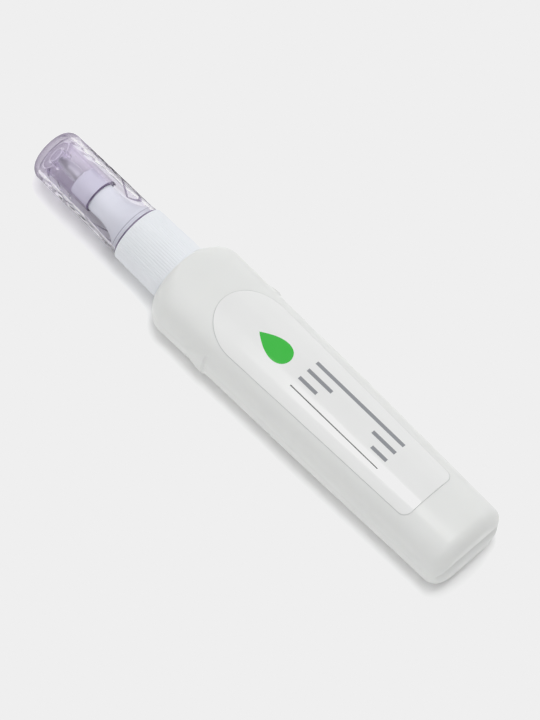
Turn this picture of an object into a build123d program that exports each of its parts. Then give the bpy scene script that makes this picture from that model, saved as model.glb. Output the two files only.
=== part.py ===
from build123d import *
from math import asin, cos, pi, radians, sin, sqrt, tan
import os

# Squeeze-bottle correction pen lying on its flat back, cap towards +Y. Millimetres, +Z up.
# The origin is under the middle of the pen, on the surface that it lies on.
# Turned pieces are drawn as half profiles, with x as the radius and y along the pen.

# Lengths along the pen
BODY_LENGTH = 90.2
COLLAR_LENGTH = 13.7
CAP_LENGTH = 28.4

# Bottle, a flattened blow moulding
SHOULDER_WIDTH = 23.9
MIDDLE_WIDTH = 22.95
BASE_WIDTH = 21.2
BODY_THICKNESS = 15.6
SIDE_RADIUS = 6.4
RING_RADIUS = 7.7
RING_FLAT = 0.1
SHOULDER_ANGLE = 74.0
BOTTLE_WALL = 1.0
BASE_WALL = 1.6
BASE_ROUND = 3.3
PINCH_DEPTH = 1.1
PINCH_ROUND = 4.0

# Finger stop on each narrow side of the bottle
STOP_FRONT = 11.5
STOP_LENGTH = 7.6
STOP_PROUD = 0.4
STOP_HEIGHT = 7.2

# Bottle neck, hidden under the collar
NECK_RADIUS = 6.2
NECK_WALL = 1.0
NECK_LENGTH = 11.6
BEAD_PROUD = 0.25
BEAD_LENGTH = 1.2
BEAD_FROM_END = 2.4

# Printed label on the front panel
LABEL_SETBACK = 12.8
LABEL_LENGTH = 63.8
LABEL_FRONT_WIDTH = 17.2
LABEL_REAR_WIDTH = 14.6
LABEL_ARCH = 10.4
LABEL_CORNER = 2.0
LABEL_THICKNESS = 0.1
GLUE_GAP = 0.02

# Ribbed collar and nozzle, one moulding
COLLAR_FRONT_RADIUS = 7.12
COLLAR_REAR_RADIUS = 7.45
RIB_COUNT = 72
RIB_DEPTH = 0.12
COLLAR_WEB = 1.6
SPIGOT_RADIUS = 5.65
SPIGOT_LENGTH = 2.4
NOZZLE_RADIUS = 3.65
FLARE_LENGTH = 6.6
NOZZLE_CHAMFER = 0.4
PLUG_LENGTH = 8.0
CHAMBER_RADIUS = 2.6
CHAMBER_FRONT = 10.0
RETAINER_RADIUS = 4.15
RETAINER_THICKNESS = 2.0
RETAINER_INSET = 0.1

# Metal tip
TIP_RADIUS = 1.6
TIP_BORE = 1.15
TIP_EXPOSED = 7.1
TIP_CONE_LENGTH = 2.9
TIP_END_RADIUS = 0.75
ORIFICE_RADIUS = 0.42
ORIFICE_LENGTH = 1.9
SEAT_LENGTH = 1.0

# Valve needle and the slider that carries it
NEEDLE_RADIUS = 0.6
POINT_RADIUS = 0.35
POINT_PROUD = 0.45
SLIDER_FRONT = 6.0
SLIDER_LENGTH = 4.5
SLIDER_BOSS_RADIUS = 1.4
SLIDER_BOSS_LENGTH = 2.0
SPRING_POST_RADIUS = 1.3
SPRING_POST_LENGTH = 2.0
FLUTE_COUNT = 4
FLUTE_RADIUS = 0.75
FLOW_HOLE_RADIUS = 0.55

# Return spring
SPRING_WIRE = 0.4
SPRING_MEAN_RADIUS = 1.75
SPRING_TURNS = 6.5

# Mixing ball
BALL_RADIUS = 3.0
BALL_FROM_BASE = 9.0

# Cap, a clear moulding with a sealing tube inside
CAP_MOUTH_RADIUS = 6.56
CAP_END_RADIUS = 6.4
CAP_EDGE_ROUND = 2.6
CAP_DOME = 0.3
CAP_WALL = 1.2
CAP_END_WALL = 2.0
CAP_BAND_LENGTH = 1.4
CAP_BAND_PROUD = 0.08
CAP_SOCKET_LENGTH = 4.0
CAP_TAPER_LENGTH = 5.5
SEAL_TUBE_WALL = 0.4
SEAL_TUBE_MOUTH = 12.0
TIP_CUP_WALL = 0.6
TIP_CUP_LENGTH = 2.6

# Two opposite grip panels on the cap, turned up from the bottle's narrow sides
GRIP_TURN = 46.0
GRIP_START = 5.0
GRIP_DEPTH = 0.6
GRIP_RUN_OUT = 3.95
GRIP_RUN_OUT_SLANT = 45.0
GRIP_RIBS = 3
GRIP_RIB_FIRST = 17.1
GRIP_RIB_PITCH = 3.5
GRIP_RIB_WIDTH = 1.5
GRIP_RIB_SLANT = 40.0

# Clearances
RUNNING_GAP = 0.08
PRESS_GAP = 0.02
SEAT_GAP = 0.1
NECK_GAP = 0.05
BALL_GAP = 0.3
TIP_END_GAP = 1.5

# Places along the pen that the pieces share
OVERALL_LENGTH = BODY_LENGTH + COLLAR_LENGTH + CAP_LENGTH
BASE_Y = -OVERALL_LENGTH / 2
RING_Y = BASE_Y + BODY_LENGTH
MOUTH_Y = RING_Y + COLLAR_LENGTH
CAP_END_Y = MOUTH_Y + CAP_LENGTH
AXIS_Z = BODY_THICKNESS / 2
NECK_END_Y = RING_Y + NECK_LENGTH
NECK_BORE = NECK_RADIUS - NECK_WALL
PLUG_RADIUS = NECK_BORE - NECK_GAP
SOCKET_TOP_Y = MOUTH_Y - COLLAR_WEB
PLUG_END_Y = SOCKET_TOP_Y - PLUG_LENGTH
RETAINER_BACK_Y = PLUG_END_Y + RETAINER_INSET
SPRING_SEAT_Y = RETAINER_BACK_Y + RETAINER_THICKNESS
CHAMBER_END_Y = MOUTH_Y + CHAMBER_FRONT
CAP_INSIDE_Y = CAP_END_Y - CAP_END_WALL
TIP_END_Y = CAP_INSIDE_Y - TIP_END_GAP
NOZZLE_END_Y = TIP_END_Y - TIP_EXPOSED
SEAT_TOP_Y = TIP_END_Y - ORIFICE_LENGTH
SEAT_BACK_Y = SEAT_TOP_Y - SEAT_LENGTH
POINT_END_Y = TIP_END_Y + POINT_PROUD
SLIDER_FRONT_Y = MOUTH_Y + SLIDER_FRONT
SLIDER_BACK_Y = SLIDER_FRONT_Y - SLIDER_LENGTH
SEAL_TUBE_BORE = NOZZLE_RADIUS + RUNNING_GAP

PEN_AXIS = Axis((0, 0, AXIS_Z), (0, 1, 0))
PROFILE_PLANE = Plane(origin=(0, 0, AXIS_Z), x_dir=(1, 0, 0), z_dir=(0, 0, 1))
SIDE_PLANE = Plane(origin=(0, 0, AXIS_Z), x_dir=(0, 1, 0), z_dir=(1, 0, 0))


def turned(outline):
    """A solid turned about the pen's axis from the closed outline of its half section."""
    return revolve(PROFILE_PLANE * make_face(outline), PEN_AXIS)


def turned_points(*points):
    """A solid turned about the pen's axis from straight lines through (radius, y) points."""
    return turned(Polyline(*points, close=True))


def tube(inner, outer, start_y, end_y):
    """A plain tube on the pen's axis; an inner radius of 0 makes a rod."""
    return turned_points((inner, start_y), (outer, start_y), (outer, end_y), (inner, end_y))


def cross_plane(y):
    """The plane square to the pen's axis at y, with its local x along X."""
    return Plane(origin=(0, y, AXIS_Z), x_dir=(1, 0, 0), z_dir=(0, 1, 0))


def shoulder_half_widths(steps=5):
    """(y, half width) along the shoulder's arc, from the ring to the full width."""
    rise = SHOULDER_WIDTH / 2 - RING_RADIUS
    start = radians(SHOULDER_ANGLE)
    arc_radius = rise / (1 - cos(start))
    stations = []
    for step in range(steps + 1):
        angle = start * (1 - step / steps)
        y = RING_Y - arc_radius * (sin(start) - sin(angle))
        stations.append((y, RING_RADIUS + arc_radius * (cos(angle) - cos(start))))
    return stations


def body_half_width(y, shoulder_y):
    """Half the bottle's width behind the shoulder, drawn in towards its middle and its base."""
    middle_y = (shoulder_y + BASE_Y) / 2
    if y > middle_y:
        near, far, start_y = SHOULDER_WIDTH, MIDDLE_WIDTH, shoulder_y
    else:
        near, far, start_y = MIDDLE_WIDTH, BASE_WIDTH, middle_y
    share = (start_y - y) / (middle_y - BASE_Y)
    return (near + (far - near) * share) / 2


def bottle_section(y, half_width, share, offset):
    """The bottle's section at y; share runs from 0 at the round ring to 1 at the full oval."""
    ring_corner = RING_RADIUS - RING_FLAT / 2
    half_height = RING_RADIUS + (BODY_THICKNESS / 2 - RING_RADIUS) * share + offset
    corner = ring_corner + (SIDE_RADIUS - ring_corner) * share + offset
    return cross_plane(y) * RectangleRounded(2 * (half_width + offset), 2 * half_height, corner)


def bottle_form(offset=0.0, front_shift=0.0, base_shift=0.0):
    """The bottle's outer form, grown by offset all round, with its two ends shifted along it."""
    stations = shoulder_half_widths()
    shoulder_y = stations[-1][0]
    rise = SHOULDER_WIDTH / 2 - RING_RADIUS
    shoulder = []
    for y, half_width in stations:
        share = (half_width - RING_RADIUS) / rise
        shoulder.append(bottle_section(y + front_shift, half_width, share, offset))
    start_y = shoulder_y + front_shift
    end_y = BASE_Y + base_shift
    body = [
        bottle_section(start_y, SHOULDER_WIDTH / 2, 1.0, offset),
        bottle_section((start_y + end_y) / 2, MIDDLE_WIDTH / 2, 1.0, offset),
        bottle_section(end_y, BASE_WIDTH / 2, 1.0, offset),
    ]
    form = loft(shoulder) + loft(body, ruled=True)
    return fillet(form.faces().sort_by(Axis.Y)[0].edges(), BASE_ROUND + offset)


def pinch_groove():
    """The cutter for the groove that the mould's pinch-off leaves across the base."""
    half = sqrt(2 * PINCH_ROUND * PINCH_DEPTH - PINCH_DEPTH ** 2)
    bow = asin(half / PINCH_ROUND) / 2
    mid_z = half - PINCH_ROUND * sin(bow)
    mid_y = BASE_Y + PINCH_ROUND * (1 - cos(bow))
    outside_y = BASE_Y - PINCH_DEPTH
    outline = [
        ThreePointArc((BASE_Y, -half), (mid_y, -mid_z), (BASE_Y + PINCH_DEPTH, 0)),
        ThreePointArc((BASE_Y + PINCH_DEPTH, 0), (mid_y, mid_z), (BASE_Y, half)),
        Polyline((BASE_Y, half), (outside_y, half), (outside_y, -half), (BASE_Y, -half)),
    ]
    return extrude(SIDE_PLANE * make_face(outline), SHOULDER_WIDTH / 2, both=True)


def finger_stop(side):
    """A three-cornered ramp on one narrow side that rises from its front and drops off square."""
    shoulder_y = shoulder_half_widths()[-1][0]
    front_y = RING_Y - STOP_FRONT
    back_y = front_y - STOP_LENGTH
    crest = body_half_width(back_y, shoulder_y) + STOP_PROUD
    flush = body_half_width(front_y, shoulder_y)
    root = flush - SIDE_RADIUS / 2
    ramp = Polyline((root, front_y), (flush, front_y), (crest, back_y), (root, back_y), close=True)
    wedge = extrude(PROFILE_PLANE * make_face(ramp), STOP_HEIGHT / 2, both=True)
    half = STOP_HEIGHT / 2
    arrow = Polyline((front_y, 0), (back_y, half), (back_y, -half), close=True)
    wedge &= extrude(SIDE_PLANE * make_face(arrow), SHOULDER_WIDTH)
    wedge &= bottle_form(offset=STOP_PROUD)
    return wedge if side > 0 else mirror(wedge, about=Plane.YZ)


def squeeze_bottle():
    """The blow-moulded bottle with its neck, finger stops, flat panels and pinched base."""
    outer = bottle_form() + finger_stop(1) + finger_stop(-1) - pinch_groove()
    inside = bottle_form(offset=-BOTTLE_WALL, front_shift=-BOTTLE_WALL, base_shift=BASE_WALL)
    bead_y = NECK_END_Y - BEAD_FROM_END
    neck = turned_points(
        (0, RING_Y - BOTTLE_WALL),
        (NECK_RADIUS, RING_Y - BOTTLE_WALL),
        (NECK_RADIUS, bead_y - BEAD_LENGTH / 2),
        (NECK_RADIUS + BEAD_PROUD, bead_y - BEAD_PROUD / 2),
        (NECK_RADIUS + BEAD_PROUD, bead_y + BEAD_PROUD / 2),
        (NECK_RADIUS, bead_y + BEAD_LENGTH / 2),
        (NECK_RADIUS, NECK_END_Y),
        (0, NECK_END_Y),
    )
    neck_bore = tube(0, NECK_BORE, RING_Y - 2 * BOTTLE_WALL, NECK_END_Y)
    return outer + neck - inside - neck_bore


def label_outline():
    """The label's plan: an arched front, slightly tapered sides and a straight rear edge."""
    front_y = RING_Y - LABEL_SETBACK
    arch_y = front_y - LABEL_ARCH
    rear_y = front_y - LABEL_LENGTH
    half_front = LABEL_FRONT_WIDTH / 2
    half_rear = LABEL_REAR_WIDTH / 2
    arch = EllipticalCenterArc((0, arch_y), half_front, LABEL_ARCH, start_angle=0, arc_size=180)
    sides = Polyline((-half_front, arch_y), (-half_rear, rear_y), (half_rear, rear_y), (half_front, arch_y))
    face = make_face([arch, sides])
    corners = face.vertices().group_by(Axis.Y)[0]
    return fillet(corners, LABEL_CORNER)


def front_label():
    """The self-adhesive label, wrapped a little way over the front panel's edges."""
    skin = bottle_form(offset=GLUE_GAP + LABEL_THICKNESS)
    backing = bottle_form(offset=GLUE_GAP)
    blank = extrude(Pos(0, 0, AXIS_Z) * label_outline(), BODY_THICKNESS)
    return (skin & blank) - backing


def rib_outline(crest):
    """The collar's saw-toothed section with its rib crests at the given radius."""
    root = crest * (1 - RIB_DEPTH / COLLAR_FRONT_RADIUS)
    points = []
    for index in range(2 * RIB_COUNT):
        radius = crest if index % 2 == 0 else root
        angle = pi * index / RIB_COUNT
        points.append((radius * cos(angle), radius * sin(angle)))
    return make_face(Polyline(*points, close=True))


def nozzle_outside():
    """The spigot that the cap sits on, the hollow-sided flare and the straight nozzle."""
    flare_y = MOUTH_Y + SPIGOT_LENGTH
    throat_y = flare_y + FLARE_LENGTH
    drop = SPIGOT_RADIUS - NOZZLE_RADIUS
    flare_radius = (drop ** 2 + FLARE_LENGTH ** 2) / (2 * drop)
    half_turn = asin(FLARE_LENGTH / flare_radius) / 2
    mid = (
        NOZZLE_RADIUS + flare_radius * (1 - cos(half_turn)),
        throat_y - flare_radius * sin(half_turn),
    )
    tip_y = NOZZLE_END_Y - NOZZLE_CHAMFER
    return turned([
        Polyline(
            (0, NOZZLE_END_Y),
            (0, SOCKET_TOP_Y),
            (SPIGOT_RADIUS, SOCKET_TOP_Y),
            (SPIGOT_RADIUS, flare_y),
        ),
        ThreePointArc((SPIGOT_RADIUS, flare_y), mid, (NOZZLE_RADIUS, throat_y)),
        Polyline(
            (NOZZLE_RADIUS, throat_y),
            (NOZZLE_RADIUS, tip_y),
            (NOZZLE_RADIUS - NOZZLE_CHAMFER, NOZZLE_END_Y),
            (0, NOZZLE_END_Y),
        ),
    ])


def neck_socket():
    """The ring-shaped space that takes the bottle's neck and its snap bead."""
    bore = NECK_RADIUS + NECK_GAP
    bead_y = NECK_END_Y - BEAD_FROM_END
    groove = bore + BEAD_PROUD
    return turned_points(
        (0, RING_Y),
        (bore, RING_Y),
        (bore, bead_y - BEAD_LENGTH / 2 - NECK_GAP),
        (groove, bead_y - BEAD_PROUD / 2 - NECK_GAP),
        (groove, bead_y + BEAD_PROUD / 2 + NECK_GAP),
        (bore, bead_y + BEAD_LENGTH / 2 + NECK_GAP),
        (bore, SOCKET_TOP_Y),
        (PLUG_RADIUS, SOCKET_TOP_Y),
        (PLUG_RADIUS, PLUG_END_Y),
        (0, PLUG_END_Y),
    )


def nozzle_head():
    """The ribbed collar, the plug inside the neck and the nozzle, moulded as one."""
    collar = loft(
        [
            cross_plane(RING_Y) * rib_outline(COLLAR_REAR_RADIUS),
            cross_plane(MOUTH_Y) * rib_outline(COLLAR_FRONT_RADIUS),
        ],
        ruled=True,
    )
    retainer_bore = RETAINER_RADIUS + PRESS_GAP
    tip_bore = TIP_RADIUS + PRESS_GAP
    valve_bore = turned_points(
        (0, PLUG_END_Y),
        (retainer_bore, PLUG_END_Y),
        (retainer_bore, SPRING_SEAT_Y),
        (CHAMBER_RADIUS, SPRING_SEAT_Y),
        (CHAMBER_RADIUS, CHAMBER_END_Y),
        (tip_bore, CHAMBER_END_Y),
        (tip_bore, NOZZLE_END_Y),
        (0, NOZZLE_END_Y),
    )
    return collar + nozzle_outside() - neck_socket() - valve_bore


def tip_tube():
    """The turned metal tip: a sleeve with a conical nose, a valve seat and a fine orifice."""
    cone_y = TIP_END_Y - TIP_CONE_LENGTH
    return turned_points(
        (TIP_BORE, CHAMBER_END_Y),
        (TIP_RADIUS, CHAMBER_END_Y),
        (TIP_RADIUS, cone_y),
        (TIP_END_RADIUS, TIP_END_Y),
        (ORIFICE_RADIUS, TIP_END_Y),
        (ORIFICE_RADIUS, SEAT_TOP_Y),
        (TIP_BORE, SEAT_BACK_Y),
    )


def valve_needle():
    """The needle, whose cone closes the tip's seat and whose point stands out of it."""
    seat_slope = (TIP_BORE - ORIFICE_RADIUS) / SEAT_LENGTH
    cone_end_y = SEAT_TOP_Y + (ORIFICE_RADIUS - POINT_RADIUS) / seat_slope - SEAT_GAP
    cone_back_y = cone_end_y - (NEEDLE_RADIUS - POINT_RADIUS) / seat_slope
    return turned([
        Polyline(
            (0, POINT_END_Y),
            (0, SLIDER_BACK_Y),
            (NEEDLE_RADIUS, SLIDER_BACK_Y),
            (NEEDLE_RADIUS, cone_back_y),
            (POINT_RADIUS, cone_end_y),
            (POINT_RADIUS, POINT_END_Y - POINT_RADIUS),
        ),
        RadiusArc((POINT_RADIUS, POINT_END_Y - POINT_RADIUS), (0, POINT_END_Y), -POINT_RADIUS),
    ])


def needle_slider():
    """The fluted guide that holds the needle and takes the spring's push."""
    guide_radius = CHAMBER_RADIUS - RUNNING_GAP
    boss_y = SLIDER_FRONT_Y + SLIDER_BOSS_LENGTH
    bore = NEEDLE_RADIUS + PRESS_GAP
    post_y = SLIDER_BACK_Y - SPRING_POST_LENGTH
    body = turned_points(
        (0, post_y),
        (SPRING_POST_RADIUS, post_y),
        (SPRING_POST_RADIUS, SLIDER_BACK_Y),
        (guide_radius, SLIDER_BACK_Y),
        (guide_radius, SLIDER_FRONT_Y),
        (SLIDER_BOSS_RADIUS, boss_y),
        (0, boss_y),
    )
    body -= tube(0, bore, SLIDER_BACK_Y - PRESS_GAP, boss_y)
    for place in PolarLocations(guide_radius, FLUTE_COUNT):
        flute = cross_plane(SLIDER_BACK_Y) * place * Circle(FLUTE_RADIUS)
        body -= extrude(flute, SLIDER_LENGTH + SLIDER_BOSS_LENGTH)
    return body


def helix_point(turn, start_y, pitch):
    """A point on the spring's centre line and the direction there."""
    angle = 2 * pi * turn
    across = SPRING_MEAN_RADIUS * cos(angle)
    up = SPRING_MEAN_RADIUS * sin(angle)
    place = Vector(across, start_y + pitch * turn, AXIS_Z + up)
    heading = Vector(-up, pitch / (2 * pi), across).normalized()
    return place, heading


def least_turn_gap(start_y, pitch, samples=24):
    """The least gap between one turn of the spring and the next, measured on points."""
    least = pitch
    for mark in range(round(samples * (SPRING_TURNS - 1))):
        here = helix_point(mark / samples, start_y, pitch)[0]
        for step in range(samples // 2, 2 * samples):
            if mark + step <= samples * SPRING_TURNS:
                there = helix_point((mark + step) / samples, start_y, pitch)[0]
                least = min(least, (there - here).length)
    return least - SPRING_WIRE


def arc_along(start, heading, end):
    """The arc that leaves start along heading and reaches end."""
    chord = end - start
    along = chord.normalized()
    side = heading - along * heading.dot(along)
    bow = chord.length / 2 * tan(radians(heading.get_angle(chord)) / 2)
    return ThreePointArc(start, (start + end) * 0.5 + side.normalized() * bow, end)


def biarc(first, second):
    """Two arcs that join two points along the directions given there."""
    (start, heading), (end, end_heading) = first, second
    chord = end - start
    a = 2 * (heading.dot(end_heading) - 1)
    b = -2 * chord.dot(heading + end_heading)
    reach = (-b - sqrt(b * b - 4 * a * chord.dot(chord))) / (2 * a)
    joint = (start + heading * reach + end - end_heading * reach) * 0.5
    back = arc_along(end, -end_heading, joint)
    return [arc_along(start, heading, joint), ThreePointArc(joint, back @ 0.5, end)]


def return_spring():
    """The open-coiled wire spring between the retainer and the slider."""
    start_y = SPRING_SEAT_Y + SPRING_WIRE / 2 + PRESS_GAP
    end_y = SLIDER_BACK_Y - SPRING_WIRE / 2 - PRESS_GAP
    pitch = (end_y - start_y) / SPRING_TURNS
    steps = round(4 * SPRING_TURNS)
    marks = [helix_point(SPRING_TURNS * step / steps, start_y, pitch) for step in range(steps + 1)]
    arcs = []
    for first, second in zip(marks, marks[1:]):
        arcs += biarc(first, second)
    print(f"return spring: least gap between turns {least_turn_gap(start_y, pitch):.2f} mm")
    section = Plane(origin=marks[0][0], z_dir=marks[0][1]) * Circle(SPRING_WIRE / 2)
    return sweep(section, Wire(arcs))


def spring_retainer():
    """The plug behind the valve, with a post for the spring and holes for the fluid."""
    post_y = SPRING_SEAT_Y + SPRING_POST_LENGTH
    plug = tube(0, RETAINER_RADIUS, RETAINER_BACK_Y, SPRING_SEAT_Y)
    plug += tube(0, SPRING_POST_RADIUS, SPRING_SEAT_Y, post_y)
    for place in PolarLocations(SPRING_POST_RADIUS + FLOW_HOLE_RADIUS, FLUTE_COUNT):
        hole = cross_plane(RETAINER_BACK_Y) * place * Circle(FLOW_HOLE_RADIUS)
        plug -= extrude(hole, RETAINER_THICKNESS)
    return plug


def mixing_ball():
    """The loose steel ball that stirs the fluid, lying on the bottle's lower wall."""
    centre_y = BASE_Y + BASE_WALL + BALL_FROM_BASE
    return Pos(0, centre_y, BOTTLE_WALL + BALL_GAP + BALL_RADIUS) * Sphere(BALL_RADIUS)


def cap_radius(y):
    """The cap's outer radius at y, before its band and its grip panels."""
    share = (y - MOUTH_Y) / CAP_LENGTH
    return CAP_MOUTH_RADIUS + (CAP_END_RADIUS - CAP_MOUTH_RADIUS) * share


def cap_outside():
    """The cap's outer form, with its mouth band, rounded edge and shallow dome."""
    mouth_y = MOUTH_Y + SEAT_GAP
    band_y = MOUTH_Y + CAP_BAND_LENGTH
    round_y = CAP_END_Y - CAP_DOME - CAP_EDGE_ROUND
    edge_radius = cap_radius(round_y)
    dome_edge = edge_radius - CAP_EDGE_ROUND
    rim_y = CAP_END_Y - CAP_DOME
    turn = radians(45)
    round_mid = (
        dome_edge + CAP_EDGE_ROUND * cos(turn),
        round_y + CAP_EDGE_ROUND * sin(turn),
    )
    dome_radius = (dome_edge ** 2 + CAP_DOME ** 2) / (2 * CAP_DOME)
    half = asin(dome_edge / dome_radius) / 2
    dome_mid = (dome_radius * sin(half), CAP_END_Y - dome_radius * (1 - cos(half)))
    return turned([
        Polyline(
            (0, CAP_END_Y),
            (0, mouth_y),
            (cap_radius(mouth_y) + CAP_BAND_PROUD, mouth_y),
            (cap_radius(band_y) + CAP_BAND_PROUD, band_y),
            (cap_radius(band_y), band_y + CAP_BAND_PROUD),
            (edge_radius, round_y),
        ),
        ThreePointArc((edge_radius, round_y), round_mid, (dome_edge, rim_y)),
        ThreePointArc((dome_edge, rim_y), dome_mid, (0, CAP_END_Y)),
    ])


def cap_inside():
    """The space inside the cap around its sealing tube."""
    socket = SPIGOT_RADIUS + SEAT_GAP
    socket_y = MOUTH_Y + CAP_SOCKET_LENGTH
    taper_y = socket_y + CAP_TAPER_LENGTH
    tube_outer = SEAL_TUBE_BORE + SEAL_TUBE_WALL
    tube_y = MOUTH_Y + SEAL_TUBE_MOUTH
    return turned_points(
        (0, MOUTH_Y),
        (socket, MOUTH_Y),
        (socket, socket_y),
        (cap_radius(taper_y) - CAP_WALL, taper_y),
        (cap_radius(CAP_INSIDE_Y) - CAP_WALL, CAP_INSIDE_Y),
        (tube_outer, CAP_INSIDE_Y),
        (tube_outer, tube_y),
        (0, tube_y),
    )


def cap_seal_bore():
    """The bore of the sealing tube, with the cup that closes over the metal tip."""
    tube_y = MOUTH_Y + SEAL_TUBE_MOUTH
    cup_bore = TIP_RADIUS + SEAT_GAP
    cup_outer = cup_bore + TIP_CUP_WALL
    cup_y = CAP_INSIDE_Y - TIP_CUP_LENGTH
    return turned_points(
        (0, tube_y),
        (SEAL_TUBE_BORE, tube_y),
        (SEAL_TUBE_BORE, CAP_INSIDE_Y),
        (cup_outer, CAP_INSIDE_Y),
        (cup_outer, cup_y),
        (cup_bore, cup_y),
        (cup_bore, CAP_INSIDE_Y),
        (0, CAP_INSIDE_Y),
    )


def grip_recess():
    """The cutter for a grip panel on the +X side: a flat with a slanted slope at its mouth end."""
    flat = CAP_END_RADIUS - GRIP_DEPTH
    outer = CAP_MOUTH_RADIUS + GRIP_DEPTH
    slope_run = GRIP_RUN_OUT * cos(radians(GRIP_RUN_OUT_SLANT))
    outline = Polyline(
        (0, 0),
        (0, 2 * CAP_LENGTH),
        (outer - flat, 2 * CAP_LENGTH),
        (outer - flat, -slope_run * (outer - flat) / GRIP_DEPTH),
        close=True,
    )
    cutter = extrude(make_face(outline), CAP_LENGTH, both=True)
    place = Pos(flat, MOUTH_Y + GRIP_START + GRIP_RUN_OUT, AXIS_Z)
    return place * Rot(GRIP_RUN_OUT_SLANT, 0, 0) * cutter


def grip_ribs():
    """Slanted three-sided ribs that stand in a grip panel on the +X side."""
    flat = CAP_END_RADIUS - GRIP_DEPTH
    first_y = MOUTH_Y + GRIP_RIB_FIRST
    half = GRIP_RIB_WIDTH / 2
    section = make_face(Polyline((0, -half), (GRIP_DEPTH, 0), (0, half), close=True))
    rib = extrude(section, CAP_MOUTH_RADIUS, both=True)
    ribs = []
    for index in range(GRIP_RIBS):
        place = Pos(flat, first_y + GRIP_RIB_PITCH * index, AXIS_Z) * Rot(-GRIP_RIB_SLANT, 0, 0)
        ribs.append(place * rib)
    return ribs


def cap_shell():
    """The clear push-on cap with its sealing tube, tip cup and two ribbed grip panels."""
    outside = cap_outside()
    recess = grip_recess()
    panel = [rib & recess & outside for rib in grip_ribs()]
    shell = outside
    for turn in (-GRIP_TURN, 180 - GRIP_TURN):
        about_axis = Pos(0, 0, AXIS_Z) * Rotation(0, turn, 0) * Pos(0, 0, -AXIS_Z)
        shell = (shell - about_axis * recess).fuse(*[about_axis * rib for rib in panel])
    return shell - cap_inside() - cap_seal_bore()


NODES = {
    "squeeze_bottle": squeeze_bottle,
    "front_label": front_label,
    "nozzle_head": nozzle_head,
    "tip_tube": tip_tube,
    "valve_needle": valve_needle,
    "needle_slider": needle_slider,
    "return_spring": return_spring,
    "spring_retainer": spring_retainer,
    "mixing_ball": mixing_ball,
    "cap_shell": cap_shell,
}


def main():
    """Build every piece and write one file for each."""
    os.makedirs("parts", exist_ok=True)
    for name, make in NODES.items():
        export_step(make(), f"parts/{name}.step")


main()
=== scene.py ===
"""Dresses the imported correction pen: its bottle, label, nozzle, metal tip, spring and clear cap."""

import logging
from dataclasses import dataclass
from enum import Enum
from math import atan2, cos, hypot, pi, radians, sin, sqrt, tan

import bmesh
import bpy
from mathutils import Euler, Matrix, Vector


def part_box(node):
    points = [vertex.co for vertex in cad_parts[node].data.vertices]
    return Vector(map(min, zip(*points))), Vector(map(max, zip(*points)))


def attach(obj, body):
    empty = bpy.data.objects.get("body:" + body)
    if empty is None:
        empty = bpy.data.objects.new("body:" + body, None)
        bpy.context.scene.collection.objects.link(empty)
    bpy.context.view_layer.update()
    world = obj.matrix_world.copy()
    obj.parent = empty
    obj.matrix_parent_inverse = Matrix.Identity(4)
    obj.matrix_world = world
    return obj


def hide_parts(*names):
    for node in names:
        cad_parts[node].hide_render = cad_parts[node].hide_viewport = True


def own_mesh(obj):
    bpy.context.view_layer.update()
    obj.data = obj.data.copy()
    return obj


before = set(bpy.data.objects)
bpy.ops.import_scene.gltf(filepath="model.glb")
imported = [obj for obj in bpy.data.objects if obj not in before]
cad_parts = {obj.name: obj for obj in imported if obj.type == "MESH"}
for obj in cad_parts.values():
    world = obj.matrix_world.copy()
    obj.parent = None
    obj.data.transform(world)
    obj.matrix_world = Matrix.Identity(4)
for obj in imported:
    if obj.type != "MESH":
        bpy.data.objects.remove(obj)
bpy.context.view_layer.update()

MM = 0.001
WELD_DISTANCE = 1e-7
LOG = logging.getLogger("correction_pen")

Point = tuple[float, float, float]
Colour = tuple[float, float, float]
Outline = list[tuple[float, float]]
Socket = bpy.types.NodeSocket
Material = bpy.types.Material
Piece = bpy.types.Object


class Body(Enum):
    """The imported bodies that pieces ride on."""

    BARREL = "barrel"
    CAP = "cap"


class Slot(Enum):
    """The record's material slots."""

    BOTTLE = "bottle_plastic"
    LABEL = "label_film"
    HEAD = "head_plastic"
    TIP = "tip_metal"
    SPRING = "spring_steel"
    CAP = "cap_plastic"


class CapPart(Enum):
    """The parts of the cap that differ in finish, in the order of its materials; two of them carry painted
    shade.
    """

    CLEAR = 0
    # painted shade: a dark opaque band at the cap's mouth and at the sealing tube's rim
    EDGE = 1
    # painted shade: dark strokes on the band's step, the ribs' shaded flanks and the panels' folds
    DARK_STROKE = 2
    TUBE = 3
    END = 4
    INSIDE = 5


@dataclass(frozen=True)
class Places:
    """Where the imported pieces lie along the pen, in millimetres."""

    base_y: float
    ring_y: float
    mouth_y: float
    cap_end_y: float
    axis_z: float
    seat_gap: float = 0.1

    @classmethod
    def from_frame(cls) -> "Places":
        """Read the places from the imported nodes.

        Returns:
            The places, in millimetres in the pen's frame.
        """
        bottle_low, bottle_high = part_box("squeeze_bottle")
        head_low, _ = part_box("nozzle_head")
        cap_low, cap_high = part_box("cap_shell")
        return cls(
            base_y=bottle_low.y / MM,
            ring_y=head_low.y / MM,
            mouth_y=cap_low.y / MM - cls.seat_gap,
            cap_end_y=cap_high.y / MM,
            axis_z=(bottle_low.z + bottle_high.z) / 2 / MM,
        )


def smooth_step(start: float, end: float, value: float) -> float:
    """Rise smoothly from 0 at start to 1 at end, where start may lie above end."""
    share = min(max((value - start) / (end - start), 0.0), 1.0)
    return share * share * (3 - 2 * share)


def soft_min(first: float, second: float, blend: float) -> float:
    """The smaller of two lengths, with the change rounded over a difference of blend."""
    share = max(blend - abs(first - second), 0.0) / blend
    return min(first, second) - share * share * blend / 4


def quarter_turn(steps: int) -> list[float]:
    """The angles of a quarter turn in equal steps, without its start."""
    return [pi / 2 * step / steps for step in range(1, steps + 1)]


def full_turn(steps: int) -> list[float]:
    """The angles of a full turn in equal steps, without its end."""
    return [2 * pi * step / steps for step in range(steps)]


def linked(name: str, data: bpy.types.ID) -> Piece:
    """Make an object and link it to the scene.

    Args:
        name: The object's name.
        data: Its mesh, lamp or lens.

    Returns:
        The object.
    """
    made = bpy.data.objects.new(name, data)
    bpy.context.scene.collection.objects.link(made)
    return made


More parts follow.
